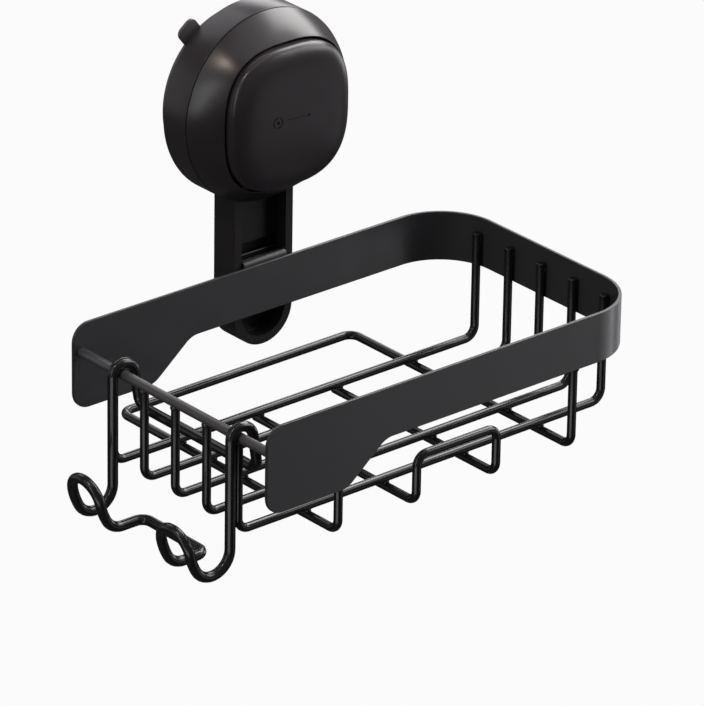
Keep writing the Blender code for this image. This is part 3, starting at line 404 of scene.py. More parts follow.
plainFinish = {  # what a finish has where it says nothing else
    "Metallic": 0.0, "Specular IOR Level": 0.5, "Distance": 0.0002,
    "Dust": (0.2, 0.19, 0.18), "Speck Scale": 1200, "Speck Size": 0.06,
}
finishes = {
    "mouldedPlastic": {
        "slot": "black_plastic", "Tone": (0.0360, 0.0298, 0.0342), "Shade": (0.0305, 0.0252, 0.0290),
        "Cloud Scale": 45, "Grain Scale": 5200, "Peel Scale": 1500, "Peel Share": 0.35,
        "Low Roughness": 0.276, "High Roughness": 0.300, "Strength": 0.03, "Speck Amount": 0.06,
    },
    "armPlastic": {
        "slot": "black_plastic", "Tone": (0.0170, 0.0145, 0.0165), "Shade": (0.0135, 0.0115, 0.0130),
        "Cloud Scale": 60, "Grain Scale": 4200, "Peel Scale": 1100, "Peel Share": 0.3,
        "Low Roughness": 0.32, "High Roughness": 0.42, "Strength": 0.06, "Speck Amount": 0.10,
    },
    "innerPlastic": {
        "Tone": (0.03, 0.03, 0.031), "Shade": (0.024, 0.024, 0.025),
        "Cloud Scale": 90, "Grain Scale": 3800, "Peel Scale": 900, "Peel Share": 0.3,
        "Low Roughness": 0.42, "High Roughness": 0.55, "Strength": 0.2, "Speck Amount": 0.0,
    },
    # painted light: the band's coat is the wires' black coating with a lighter tone, standing in for
    # the light its broad faces catch from the front and below
    "bandCoatPaintedLight": {
        "slot": "coated_steel", "Tone": (0.0440, 0.0427, 0.0470), "Shade": (0.0380, 0.0366, 0.0402),
        "Cloud Scale": 30, "Grain Scale": 6500, "Peel Scale": 1300, "Peel Share": 0.55,
        "Low Roughness": 0.30, "High Roughness": 0.38, "Strength": 0.05, "Speck Amount": 0.08,
    },
    "wireCoat": {
        "slot": "coated_steel", "Tone": (0.0110, 0.0100, 0.0112), "Shade": (0.0085, 0.0078, 0.0088),
        "Cloud Scale": 70, "Grain Scale": 4000, "Peel Scale": 450, "Peel Share": 0.97,
        "Low Roughness": 0.20, "High Roughness": 0.25, "Strength": 0.008, "Speck Amount": 0.015,
    },
    # painted light: the cross bar's coat is the wires' black coating with a much lighter tone, standing
    # in for the light that falls on the bar's top
    "barCoatPaintedLight": {
        "slot": "coated_steel", "Tone": (0.0850, 0.0820, 0.0880), "Shade": (0.0720, 0.0690, 0.0745),
        "Cloud Scale": 50, "Grain Scale": 5000, "Peel Scale": 900, "Peel Share": 0.7,
        "Low Roughness": 0.30, "High Roughness": 0.38, "Strength": 0.02, "Speck Amount": 0.03,
    },
    "softRubber": {
        "slot": "soft_rubber", "Tone": (0.120, 0.113, 0.121), "Shade": (0.102, 0.096, 0.104),
        "Cloud Scale": 80, "Grain Scale": 3000, "Peel Scale": 700, "Peel Share": 0.4,
        "Low Roughness": 0.42, "High Roughness": 0.52, "Strength": 0.08, "Speck Amount": 0.10,
        "Specular IOR Level": 0.4,
    },
    "zincSteel": {
        "slot": "bare_steel", "Tone": (0.55, 0.55, 0.56), "Shade": (0.44, 0.44, 0.46),
        "Cloud Scale": 160, "Grain Scale": 3500, "Peel Scale": 900, "Peel Share": 0.5,
        "Low Roughness": 0.28, "High Roughness": 0.38, "Strength": 0.1, "Speck Amount": 0.0,
        "Metallic": 1.0,
    },
}


def makeFinish(name):
    look = {**plainFinish, **finishes[name]}
    material = bpy.data.materials.new(name)
    material.use_nodes = True
    tree = material.node_tree
    shader = tree.nodes["Principled BSDF"]
    place = addNode(tree, "ShaderNodeTexCoord", (-1100, 0))
    surface = addNode(tree, "ShaderNodeGroup", (-800, 0), node_tree=surfaceGroup)
    specks = addNode(tree, "ShaderNodeGroup", (-500, 200), node_tree=speckGroup)
    bump = addNode(tree, "ShaderNodeBump", (-300, -250))
    for socket in (*shader.inputs, *surface.inputs, *specks.inputs, *bump.inputs):
        if socket.name in look:
            value = look[socket.name]
            socket.default_value = (*value, 1) if isinstance(value, tuple) else value
    linkAll(
        tree,
        (place, "Object", surface, "Vector"),
        (place, "Object", specks, "Vector"),
        (surface, "Color", specks, "Color"),
        (specks, "Color", shader, "Base Color"),
        (surface, "Roughness", shader, "Roughness"),
        (surface, "Height", bump, "Height"),
        (bump, "Normal", shader, "Normal"),
    )
    return material


materials = {name: makeFinish(name) for name in finishes}
print("finishes:", len(materials))


def finishPiece(piece, finishName, body, *nodes):
    piece.data.materials.clear()
    piece.data.materials.append(materials[finishName])
    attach(piece, body)
    if nodes:
        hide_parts(*nodes)
    print("  ", piece.name, len(piece.data.polygons), "faces")


# Suction head

head = {
    "crease": 0.0162,  # where the side wall meets the dome
    "wall": 0.002,
    "lip": 0.0025,
    "buttonGap": 0.0007,
    "squareness": 2.77,
    "domeStart": 38.0,  # degrees of the dome's arc
    "domeEnd": 56.0,
    "domeSteps": 28,
    "rimRound": 0.0006,
    "creaseRound": 0.0003,
    "grooveDepth": 0.00025,
    "grooveShare": 1.6,  # of the crease's round, to the groove's inner side
    "lipShare": 0.05,  # of the dome's width, rounded at the opening
    "lipRound": 0.0003,
    "lipStart": -45.0,
    "roundSteps": 6,
    "turnSteps": 256,
    "notchGap": 0.0003,
    "notchTop": 0.027,
    "sharpAngle": 38,
}


def squircleRadius(angle):  # of the opening and the button, where their half width is 1
    power = head["squareness"]
    sides = abs(math.cos(angle)) ** power + abs(math.sin(angle)) ** power
    return 1 / sides ** (1 / power)


def makeHeadShell():
    low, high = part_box("housing_shell")
    wide, rim, top = high.x, -high.y, -low.y
    crease, steps = head["crease"], head["roundSteps"]
    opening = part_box("push_button")[1].x + head["buttonGap"]
    start, end = math.radians(head["domeStart"]), math.radians(head["domeEnd"])

    def ringOf(share, far, out, inset=0):  # shares run from the opening to a circle
        def radiusOf(angle):
            near = opening * squircleRadius(angle)
            return near * (1 - share) + far * share - inset

        return ringAt(radiusOf, out, head["turnSteps"])

    def domeShares(lastShare):
        cosines = math.cos(start) - math.cos(end)
        sines = math.sin(end) - math.sin(start)
        stop = math.acos(math.cos(end) + lastShare * cosines)
        for portion in portions(head["domeSteps"]):
            angle = start + (stop - start) * portion
            share = (math.cos(angle) - math.cos(end)) / cosines
            yield share, (math.sin(angle) - math.sin(start)) / sines

    ease, groove, quarter = head["rimRound"], head["creaseRound"], quarterTurn(steps)
    side = [(rim + ease * (1 - cosine), ease * (1 - sine)) for sine, cosine in quarter]
    side += [(crease - groove * (1 - sine), groove * (1 - cosine)) for sine, cosine in quarter]
    side += [(crease - head["grooveDepth"], groove * share) for share in (1, head["grooveShare"])]
    rings = [ringOf(1, wide, out, inset) for out, inset in side]
    for share, risen in list(domeShares(head["lipShare"]))[1:]:
        lastOut = crease + (top - crease) * risen
        rings.append(ringOf(share, wide, lastOut))
    lipStart = math.radians(head["lipStart"])
    for portion in portions(steps)[1:]:
        angle = lipStart + (math.pi / 2 - lipStart) * portion
        share = head["lipShare"] * (1 - math.sin(angle)) / (1 - math.sin(lipStart))
        out = lastOut + head["lipRound"] * (math.cos(angle) - math.cos(lipStart))
        rings.append(ringOf(share, wide, out))
    inside = wide - head["wall"]
    for share, risen in reversed(list(domeShares(0))):
        rings.append(ringOf(share, inside, crease + (top - head["lip"] - crease) * risen))
    rings.append(ringOf(1, inside, rim))
    shell = loftPiece("headShell", rings)
    notch = boxPiece(
        "armNotch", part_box("arm")[1].x + head["notchGap"], -wide - head["wall"], -head["notchTop"],
        rim - head["wall"], crease + head["notchGap"],
    )
    shell = combine(shell, [notch], "DIFFERENCE")
    smoothShaded(shell, head["sharpAngle"])
    finishPiece(shell, "mouldedPlastic", "head", "housing_shell")


makeHeadShell()

button = {
    "roundingDepth": 0.0035,
    "fullness": 8,  # a higher power keeps the face flat nearer to its edge
    "crown": 0.0006,
    "wall": 0.0016,
    "frontWall": 0.0024,
    "skirtRound": 0.0004,
    "edgeSteps": 28,
    "crownSteps": 12,
    "crownEnd": 0.6,  # share of the face where the edge's rings take over
    "ringPlace": (-0.0078, 0.0007),  # a plain ring with a dot, and a line with a dot, pressed in
    "ringRadius": 0.0018,
    "ringSteps": 48,
    "middleDot": 0.0006,
    "lineStart": (-0.0038, 0.0007),
    "lineEnd": (0.0054, 0.00035),
    "lineSteps": 12,
    "endDot": 0.00045,
    "dotSteps": 24,
    "markWidth": 0.0004,
    "markDepth": 0.0004,
}


def makePressButton():
    low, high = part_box("push_button")
    half, skirt, top = high.x, -high.y, -low.y
    power, depth = button["fullness"], button["markDepth"]

    def faceAt(x, z):  # how far out the face stands there
        share = math.hypot(x, z) / (half * squircleRadius(math.atan2(z, x)))
        edge = math.sqrt(max(0, 1 - share ** power))
        return top - button["crown"] * share**2 - button["roundingDepth"] * (1 - edge)

    def ringOf(size, out):
        return ringAt(lambda angle: size * squircleRadius(angle), out, head["turnSteps"])

    def pressedLine(name, path, closed):  # a cutter that keeps one depth below the face
        rings = []
        for index, spot in enumerate(path):
            before = path[index - 1] if closed or index else spot
            after = path[(index + 1) % len(path)] if closed or index + 1 < len(path) else spot
            along = (Vector(after) - Vector(before)).normalized()
            across = Vector((-along.y, along.x)) * button["markWidth"] / 2
            left, right = Vector(spot) + across, Vector(spot) - across
            inner, outer = faceAt(*spot) - depth, faceAt(*spot) + depth
            corners = ((left, inner), (right, inner), (right, outer), (left, outer))
            rings.append([wallPoint(*side, out) for side, out in corners])
        tips = [] if closed else [sum(row, Vector()) / len(row) for row in (rings[0], rings[-1])]
        return loftPiece(name, rings, *tips)

    def pressedDot(name, spot, radius):
        inner, outer = faceAt(*spot) - depth, faceAt(*spot) + depth
        profile = [(0, inner), (radius, inner), (radius, outer), (0, outer)]
        return turnedPiece(name, profile, spot, button["dotSteps"])

    shares = [button["crownEnd"] * portion for portion in portions(button["crownSteps"])[1:-1]]
    first = math.asin(button["crownEnd"] ** (power / 2))
    for portion in portions(button["edgeSteps"]):
        shares.append(math.sin(first + (math.pi / 2 - first) * portion) ** (2 / power))
    rings = [ringOf(half * share, faceAt(half * share, 0)) for share in shares]
    ease = button["skirtRound"]
    for sine, cosine in quarterTurn(head["roundSteps"]):
        rings.append(ringOf(half - ease * (1 - cosine), skirt + ease * (1 - sine)))
    inside = half - button["wall"]
    ceiling = top - button["crown"] - button["frontWall"]
    rings += [ringOf(inside, skirt), ringOf(inside, ceiling)]
    cap = loftPiece("pressButton", rings, wallPoint(0, 0, top), wallPoint(0, 0, ceiling))
    steps = button["ringSteps"]
    ring = arcPoints(button["ringPlace"], button["ringRadius"], 0, 2 * math.pi, steps)[:-1]
    lineStart, lineEnd = Vector(button["lineStart"]), Vector(button["lineEnd"])
    line = [tuple(lineStart.lerp(lineEnd, portion)) for portion in portions(button["lineSteps"])]
    tools = [
        pressedLine("markRing", ring, True),
        pressedDot("markDot", button["ringPlace"], button["middleDot"]),
        pressedLine("markLine", line, False),
        pressedDot("lineDot", button["lineEnd"], button["endDot"]),
    ]
    cap = smoothShaded(combine(cap, tools, "DIFFERENCE"))
    finishPiece(cap, "mouldedPlastic", "button", "push_button")


makePressButton()

cup = {
    "thickness": 0.0024,
    "boss": 0.009,
    "lipWidth": 0.0025,
    "lipThickness": 0.0012,
    "sealWidth": 0.0032,  # the ring that seals on the wall, round a shallow dish
    "dish": 0.0005,
    "tabReach": 0.0372,
    "tabWidth": 0.0082,
    "tabAngle": 128.0,
    "tabBack": 0.0012,
    "tabThickness": 0.0012,
    "tabCorner": (0.0025, 8),  # a radius and its steps
    "rootFillet": (0.0018, 6),
    "rootSpreadShare": 1.6,  # of the fillet's radius, past the tab's side
    "rootOutShare": 0.2,
    "edge": 0.00025,
    "edgeSteps": 3,
    "turnSteps": 192,
}


def makeSuctionCup():
    low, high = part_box("suction_pad")
    radius, bossTop = high.x, -low.y
    boss, thick, dish = cup["boss"], cup["thickness"], cup["dish"]
    root, rim = radius - cup["lipWidth"], radius - cup["sealWidth"]
    profile = [(0, bossTop), (boss, bossTop), (boss, thick), (root, thick)]
    profile += [(radius, cup["lipThickness"]), (radius, 0), (rim, 0), (rim - dish, dish), (0, dish)]
    profile = easedProfile(profile, cup["edge"], cup["edgeSteps"])
    disc = turnedPiece("suctionCup", profile, (0, 0), cup["turnSteps"])
    half, fillet = cup["tabWidth"] / 2, cup["rootFillet"]
    side = [
        (root, half + fillet[0] * cup["rootSpreadShare"]),
        (radius + fillet[0] * cup["rootOutShare"], half),
        (cup["tabReach"], half),
    ]
    rounds = [None, fillet, cup["tabCorner"]]
    outline = eased([(x, -y) for x, y in side] + side[::-1], rounds + rounds[::-1])
    angle = math.radians(cup["tabAngle"])

    def onTab(x, y, out):
        right = x * math.cos(angle) - y * math.sin(angle)
        return wallPoint(right, x * math.sin(angle) + y * math.cos(angle), out)

    tab = platePiece("pullTab", outline, cup["tabBack"], cup["tabBack"] + cup["tabThickness"], onTab)
    disc = smoothShaded(combine(disc, [easeEdges(tab, cup["edge"])], "UNION"))
    finishPiece(disc, "softRubber", "head", "suction_pad")


makeSuctionCup()

# Arm and its foot

arm = {
    "flange": 0.003,
    "recess": 0.0059,
    "pocketStep": 0.0012,
    "web": 0.0022,
    "top": 0.027,
    "stepDrop": 0.0315,
    "channelDrop": 0.036,
    "pocketDrop": 0.0513,
    "tongueTop": 0.019,
    "tongueHalf": 0.011,
    "tongueOut": 0.0059,
    "tongueThickness": 0.0026,
    "hangerPlate": (0.01315, 0.0554, 0.0015),  # out from the wall, top's drop, thickness
    "rearRib": (0.0108, 0.0546, 0.0010),
    "plateFoot": 0.070,
    "plateSteps": 12,
    "edge": 0.00045,
    "over": 0.002,
    "endSteps": 40,
}


def makeHangArm():
    low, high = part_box("arm")
    half, front, back = high.x, -low.y, -high.y
    end = -low.z - half
    inner = half - arm["flange"]
    floor = front - arm["recess"]
    pocket = floor - arm["pocketStep"]
    roof = pocket - arm["web"]
    over, tongueOut, tongueTop = arm["over"], arm["tongueOut"], -arm["tongueTop"]

    def slotPiece(name, width, top, near, far):  # square above and round below
        outline = [(width, -top), (-width, -top)]
        outline += arcPoints((0, -end), width, math.pi, 2 * math.pi, arm["endSteps"])
        return platePiece(name, outline, near, far)

    def crossPlate(name, out, drop, thick):  # stands between the flanges, round at its top
        edge = thick / 2
        outline = arcPoints((out, -drop - edge), edge, 0, math.pi, arm["plateSteps"])
        outline += [(out - edge, -arm["plateFoot"]), (out + edge, -arm["plateFoot"])]
        reach = inner + over / 2
        return platePiece(
            name, outline, -reach, reach, lambda away, up, right: wallPoint(right, up, away)
        )

    body = slotPiece("hangArm", half, arm["top"], back, front)
    tongueFront = tongueOut + arm["tongueThickness"]
    tongue = boxPiece("tongue", arm["tongueHalf"], -arm["stepDrop"], tongueTop, tongueOut, tongueFront)
    body = combine(body, [tongue], "UNION")
    body = combine(body, [
        boxPiece("backStep", 2 * half, -arm["stepDrop"], tongueTop + over, back - over, tongueOut),
        slotPiece("recess", inner, arm["top"] - over, floor, front + over),
    ], "DIFFERENCE")
    body = combine(body, [
        slotPiece("pocket", inner - arm["edge"], arm["pocketDrop"], pocket, floor + over),
        slotPiece("channel", inner, arm["channelDrop"], back - over, roof),
    ], "DIFFERENCE")
    plates = [crossPlate(name, *arm[name]) for name in ("hangerPlate", "rearRib")]
    body = easeEdges(combine(body, plates, "UNION"), arm["edge"])
    finishPiece(body, "armPlastic", "head", "arm")


makeHangArm()

foot = {"chamfer": 0.0008, "edge": 0.0002, "edgeSteps": 3, "turnSteps": 96}


def makeFootRubber():
    low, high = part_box("foot_pad")
    centre = ((low.x + high.x) / 2, (low.z + high.z) / 2)
    radius, top, chamfer = (high.x - low.x) / 2, -low.y, foot["chamfer"]
    profile = [(0, top), (radius, top), (radius, chamfer), (radius - chamfer, 0), (0, 0)]
    profile = easedProfile(profile, foot["edge"], foot["edgeSteps"])
    piece = smoothShaded(turnedPiece("footRubber", profile, centre, foot["turnSteps"]))
    finishPiece(piece, "softRubber", "head", "foot_pad")


makeFootRubber()

# Basket band: one flat strip, cut out and then bent

band = {
    "seatGap": 0.0004,  # from the arm
    "thickness": 0.0012,
    "narrowDrop": 0.0078,
    "flareStart": 0.0305,
    "flareEnd": 0.0465,
    "flareRound": (0.008, 8),  # a radius and its steps
    "endRound": (0.0065, 8),
    "cornerRadius": 0.0219,
    "topDrop": 0.0036,  # from the tab's top
    "edge": 0.0003,
    "edgeSegments": 4,
    "bendStep": 0.0009,
    "sharpAngle": 35,
}


def makeBasketBand():
    low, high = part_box("band")
    barX, barZ = barFacts()[:2]
    thick, radius = band["thickness"], band["cornerRadius"]
    left, right, front = low.x, high.x, low.y
    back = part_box("arm")[0].y - band["seatGap"]
    top, wide, narrow = high.z - band["topDrop"], low.z, barZ - band["narrowDrop"]
    middle = radius - thick / 2
    straight, corner = right - radius - left, math.pi / 2 * middle
    whole = 2 * straight + 2 * corner + back - front - 2 * radius

    def alongPath(run):  # back run, corner, half the right run, and the same mirrored at the front
        near = min(run, whole - run)
        turn = min(max(near - straight, 0), corner) / middle
        normal = Vector((math.sin(turn), math.cos(turn)))
        place = Vector((right - radius, back - radius)) + normal * middle
        place.x += min(near - straight, 0)
        place.y -= max(near - straight - corner, 0)
        if run > whole / 2:
            place.y, normal.y = front + back - place.y, -normal.y
        return place, normal

    def flat(run, height, depth):
        return Vector((run, depth, height))

    def bend(work):
        count = int(corner / band["bendStep"])
        cuts = [straight + corner * portion for portion in portions(count)]
        for cut in cuts + [whole - cut for cut in cuts]:
            geometry = list(work.verts) + list(work.edges) + list(work.faces)
            bmesh.ops.bisect_plane(
                work, geom=geometry, plane_co=(cut, 0, 0), plane_no=(1, 0, 0), dist=meshing["cut"]
            )
        for vert in work.verts:
            run, depth, height = vert.co
            place, normal = alongPath(run)
            vert.co = (*(place + normal * depth), height)
        if work.calc_volume(signed=True) < 0:
            bmesh.ops.reverse_faces(work, faces=work.faces)

    start, stop = barX + band["flareStart"] - left, barX + band["flareEnd"] - left
    points = [
        (0, top), (0, wide), (start, wide), (stop, narrow),
        (whole - stop, narrow), (whole - start, wide), (whole, wide), (whole, top),
    ]
    ends, flares = [band["endRound"]] * 2, [band["flareRound"]] * 4
    strip = platePiece("basketBand", eased(points, ends + flares + ends), -thick / 2, thick / 2, flat)
    strip = reshaped(easeEdges(strip, band["edge"], band["edgeSegments"]), bend)
    smoothShaded(strip, band["sharpAngle"])
    weigh = strip.modifiers.new("weigh", "WEIGHTED_NORMAL")
    weigh.keep_sharp = True
    finishPiece(baked(strip), "bandCoatPaintedLight", "basket", "band")
    makeHookTab(back - thick, top)


tab = {
    "half": 0.00915,
    "setBack": 0.0004,  # behind the band's inner face
    "thickness": 0.0008,
    "bend": 0.00085,
    "bendSteps": 24,
    "lift": 0.0004,  # of the roll's middle above the band's top
    "leg": 0.0083,
    "edge": 0.00025,
}


def makeHookTab(face, top):  # welded behind the band's top edge, over the hanger plate and down
    bend, thick, steps = tab["bend"], tab["thickness"], tab["bendSteps"]
    outer = bend + thick
    front = face + tab["setBack"]
    centre = (front + outer, top + tab["lift"])
    low, tip = top - 2 * thick, centre[1] - tab["leg"]
    outline = [(front, low)] + arcPoints(centre, outer, math.pi, 0, steps)
    outline += [(centre[0] + outer, tip), (centre[0] + bend, tip)]
    outline += arcPoints(centre, bend, 0, math.pi, steps) + [(front + thick, low)]
    piece = platePiece("hookTab", outline, -tab["half"], tab["half"], lambda y, z, x: Vector((x, y, z)))
    finishPiece(easeEdges(piece, tab["edge"]), "bandCoatPaintedLight", "basket")


def barFacts():
    low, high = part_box("cross_bar")
    return (low.x + high.x) / 2, (low.z + high.z) / 2, (high.x - low.x) / 2, low.y, high.y


makeBasketBand()

# Wires, bent and swept by one geometry tree

wires = {
    "touch": 0.0004,  # how far ends run on into what they are welded to
    "rackBend": 0.0043,
    "loopBend": 0.004,
    "bendSteps": 10,
    "sides": 24,
    "endRound": 0.00035,
    "endSegments": 3,
    "sharpAngle": 50,
}


def makeWireTree():
    tree, entry, leave = makeTree("bentWires", "GeometryNodeTree", {
        "Geometry": "Geometry", "Wire Radius": "Float", "Bend Radius": "Float",
        "Bend Steps": "Int", "Sides": "Int", "Finish": "Material",
    }, {"Geometry": "Geometry"})
    bend = addNode(tree, "GeometryNodeFilletCurve", (-500, 100), mode="POLY")
    circle = addNode(tree, "GeometryNodeCurvePrimitiveCircle", (-500, -200))
    sweep = addNode(tree, "GeometryNodeCurveToMesh", (-200, 0))
    sweep.inputs["Fill Caps"].default_value = True
    linkAll(
        tree,
        (entry, "Geometry", bend, "Curve"),
        (entry, "Bend Radius", bend, "Radius"),
        (entry, "Bend Steps", bend, "Count"),
        (entry, "Wire Radius", circle, "Radius"),
        (entry, "Sides", circle, "Resolution"),
        (bend, "Curve", sweep, "Curve"),
        (circle, "Curve", sweep, "Profile Curve"),
    )
    return closeTree(tree, entry, sweep, leave)


wireTree = makeWireTree()


def polyCurve(name, routes, closed=False):
    curve = bpy.data.curves.new(name, "CURVE")
    curve.dimensions = "3D"
    for route in routes:
        spline = curve.splines.new("POLY")
        spline.use_cyclic_u = closed
        spline.points.add(len(route) - 1)
        for point, spot in zip(spline.points, route):
            point.co = (*spot, 1)
    return curve


def bendWires(name, routes, radius, bendRadius, finishName, *nodes):
    piece = grown(addPiece(name, polyCurve(name, routes)), wireTree, {
        "Wire Radius": radius, "Bend Radius": bendRadius, "Bend Steps": wires["bendSteps"],
        "Sides": wires["sides"], "Finish": materials[finishName],
    })

    def easeEnds(work):
        caps = [face for face in work.faces if len(face.verts) == wires["sides"]]
        bmesh.ops.bevel(
            work, geom=list({edge for face in caps for edge in face.edges}), affect="EDGES",
            offset=wires["endRound"], segments=wires["endSegments"], profile=0.5, clamp_overlap=True,
        )
        bmesh.ops.recalc_face_normals(work, faces=work.faces)

    smoothShaded(reshaped(piece, easeEnds), wires["sharpAngle"])
    finishPiece(piece, finishName, "basket", *nodes)


def sweptWire(name, route, closed, look):  # for a route that is already round
    curve = polyCurve(name, [route], closed)
    curve.bevel_depth = look["wireRadius"]
    curve.bevel_resolution = look["sidesResolution"]
    curve.use_fill_caps = not closed

    def joinCaps(work):
        bmesh.ops.remove_doubles(work, verts=work.verts, dist=meshing["cut"])

    return smoothShaded(reshaped(baked(addPiece(name, curve)), joinCaps), look["sharpAngle"])


def rackNames():
    return sorted(name for name in frame["nodes"] if name.startswith("rack_wire_"))


def rackFacts():  # each rack wire's box, its radius and how far out it lies
    for name in rackNames():
        low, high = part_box(name)
        yield low, high, (high.y - low.y) / 2, (low.y + high.y) / 2


def makeBasketWires():
    barX, barZ, barRadius, barFront, barBack = barFacts()
    touch = wires["touch"]
    routes = []
    for low, high, radius, y in rackFacts():
        floor = low.z + radius
        routes.append([
            (barX, y, barZ - barRadius + touch), (barX, y, floor),
            (high.x - radius, y, floor), (high.x - radius, y, high.z),
        ])
    bendWires("rackWires", routes, radius, wires["rackBend"], "wireCoat", *rackNames())
    bar = [(barX, barFront - touch, barZ), (barX, barBack + touch, barZ)]
    bendWires("crossRod", [bar], barRadius, 0, "barCoatPaintedLight", "cross_bar")

    def bendLoop(name, node, half):  # a route at the left, and the same back at the right
        low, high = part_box(node)
        left, right = low.x + radius, high.x - radius
        route = [(left, *spot) for spot in half] + [(right, *spot) for spot in half[::-1]]
        bendWires(name, [route], radius, wires["loopBend"], "wireCoat", node)

    low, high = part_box("base_frame")
    front, rear, floor = low.y + radius, high.y - radius, low.z + radius
    bendLoop("baseWire", "base_frame", [(front, high.z), (front, floor), (rear, floor)])
    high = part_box("bridge_loop")[1]
    bendLoop("bridgeWire", "bridge_loop", [(high.y, floor), (front, floor), (front, high.z - radius)])


makeBasketWires()

# Weld beads where the wires cross

beads = {
    "crossing": (0.00125, 0.00125, 0.0010),  # half lengths
    "underBar": (0.0019, 0.0017, 0.0011),
    "onBand": (0.0007, 0.0012, 0.0022),
    "onFront": (0.0012, 0.0007, 0.0022),
    "segments": 20,
    "rings": 12,
}


def makeBeadTree():
    tree, entry, leave = makeTree("weldBeads", "GeometryNodeTree", {
        "Geometry": "Geometry", "Segments": "Int", "Rings": "Int", "Finish": "Material",
    }, {"Geometry": "Geometry"})
    ball = addNode(tree, "GeometryNodeMeshUVSphere", (-500, -150))
    ball.inputs["Radius"].default_value = 1
    size = addNode(tree, "GeometryNodeInputNamedAttribute", (-500, -400), data_type="FLOAT_VECTOR")
    size.inputs["Name"].default_value = "beadSize"
    spread = addNode(tree, "GeometryNodeInstanceOnPoints", (-200, 0))
    linkAll(
        tree,
        (entry, "Geometry", spread, "Points"),
        (entry, "Segments", ball, "Segments"),
        (entry, "Rings", ball, "Rings"),
        (ball, "Mesh", spread, "Instance"),
        (size, "Attribute", spread, "Scale"),
    )
    return closeTree(tree, entry, spread, leave)


def makeWeldBeads():
    spots = []
    barX, barZ, barRadius = barFacts()[:3]
    baseLow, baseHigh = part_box("base_frame")
    loopLow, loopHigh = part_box("bridge_loop")
    for low, high, radius, y in rackFacts():
        contact = (low.z + baseLow.z + 2 * radius) / 2
        crossings = (baseLow.x + radius, loopLow.x + radius, baseHigh.x - radius, loopHigh.x - radius)
        spots += [((x, y, contact), beads["crossing"]) for x in crossings]
        spots.append(((barX, y, barZ - barRadius), beads["underBar"]))
        spots.append(((high.x, y, (high.z + barZ) / 2), beads["onBand"]))
    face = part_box("band")[0].y + band["thickness"]
    for x in (baseLow.x + radius, baseHigh.x - radius):
        spots.append(((x, face, baseHigh.z - 2 * radius), beads["onFront"]))
    mesh = bpy.data.meshes.new("weldBeads")
    mesh.from_pydata([spot for spot, size in spots], [], [])
    sizes = mesh.attributes.new("beadSize", "FLOAT_VECTOR", "POINT")
    for item, (spot, size) in zip(sizes.data, spots):
        item.vector = size
    piece = grown(addPiece("weldBeads", mesh), makeBeadTree(), {
        "Segments": beads["segments"], "Rings": beads["rings"], "Finish": materials["wireCoat"],
    })
    finishPiece(piece, "wireCoat", "basket")


makeWeldBeads()

# Double hook

hook = {
    "wireRadius": 0.0018,
    "overRadius": 0.0055,
    "slant": 9.1,  # degrees
    "innerDrop": 0.0136,
    "innerBend": 0.004,
    "uRadius": 0.0075,
    "leanLow": 29.2,  # degrees
    "leanHigh": 12.8,
    "leg": 0.0068,
    "hairpinRadius": 0.0072,
    "crossBend": 0.0035,
    "crossOut": 0.0022,
    "bendSteps": 10,
    "sidesResolution": 7,
    "sharpAngle": 60,
}


def hookHalf(barZ, top, bottom, outside):  # from the inner bar's middle to the cross run's middle
    steps, radius, cross = hook["bendSteps"], hook["uRadius"], -hook["crossOut"]
    tilt, leanLow, leanHigh = (math.radians(hook[key]) for key in ("slant", "leanLow", "leanHigh"))
    inside = outside - 2 * hook["hairpinRadius"]
    out = top - hook["wireRadius"] - barZ
    drop = barZ - bottom - hook["wireRadius"] - radius
    over = hook["overRadius"]
    slant = arcPoints((0, out - over), over, tilt, math.pi / 2, steps)
    crest = slant[0]
    tip = (crest[0] + (crest[1] + hook["innerDrop"]) * math.tan(tilt), -hook["innerDrop"])
    route = filletPoints(
        (tip[0], 0, tip[1]), (tip[0], outside, tip[1]), (crest[0], outside, crest[1]),
        hook["innerBend"], steps,
    )
    down = slant + arcPoints((0, 0), out, math.pi / 2, math.pi, steps)[1:]
    centre = (-out - radius, -drop)
    low = leanLow - math.pi
    down += arcPoints(centre, radius, 0, low, 2 * steps)
    unbend = hook["leg"] / (leanLow - leanHigh)
    away = radius - unbend
    swing = (centre[0] + away * math.cos(low), centre[1] + away * math.sin(low))
    leg = arcPoints(swing, unbend, low, low - leanLow + leanHigh, steps // 2)[1:]
    down += leg
    route += [Vector((x, outside, z)) for x, z in down]
    hinge = Vector((down[-1][0], outside - hook["hairpinRadius"], down[-1][1]))
    upwards = Vector((-math.sin(leanHigh), 0, math.cos(leanHigh)))
    for across, up in arcPoints((0, 0), hook["hairpinRadius"], 0, math.pi, 2 * steps)[1:-1]:
        route.append(hinge + Vector((0, across, 0)) + upwards * up)
    back = leg[::-1] + arcPoints(centre, radius, low, -math.pi / 2, steps)
    route += [Vector((x, inside, z)) for x, z in back]
    level = centre[1] - radius
    route += filletPoints(
        (centre[0], inside, level), (cross, inside, level), (cross, 0, level), hook["crossBend"], steps
    )
    return route


def makeHookWire():
    barX, barZ = barFacts()[:2]
    low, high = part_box("double_hook")
    middle = (low.y + high.y) / 2
    half = hookHalf(barZ, high.z, low.z, (high.y - low.y) / 2 - hook["wireRadius"])
    front = [(barX + spot[0], middle - spot[1], barZ + spot[2]) for spot in half]
    rear = [(barX + spot[0], middle + spot[1], barZ + spot[2]) for spot in reversed(half)]
    piece = sweptWire("hookWire", front + rear, True, hook)
    for vert in piece.data.vertices:
        vert.co.x = max(vert.co.x, low.x)  # the bends' facets stay inside the solid's box
    finishPiece(piece, "wireCoat", "hook", "double_hook")


makeHookWire()

# Return springs, wound with closed ends

springs = {
    "pieces": {"return_spring_upper": "upperSpring", "return_spring_lower": "lowerSpring"},
    "wireRadius": 0.00035,
    "curls": 8,
    "closedRise": 2.1,  # wire radii that each end curl rises
    "curlSteps": 24,
    "sidesResolution": 2,
    "sharpAngle": 60,
}


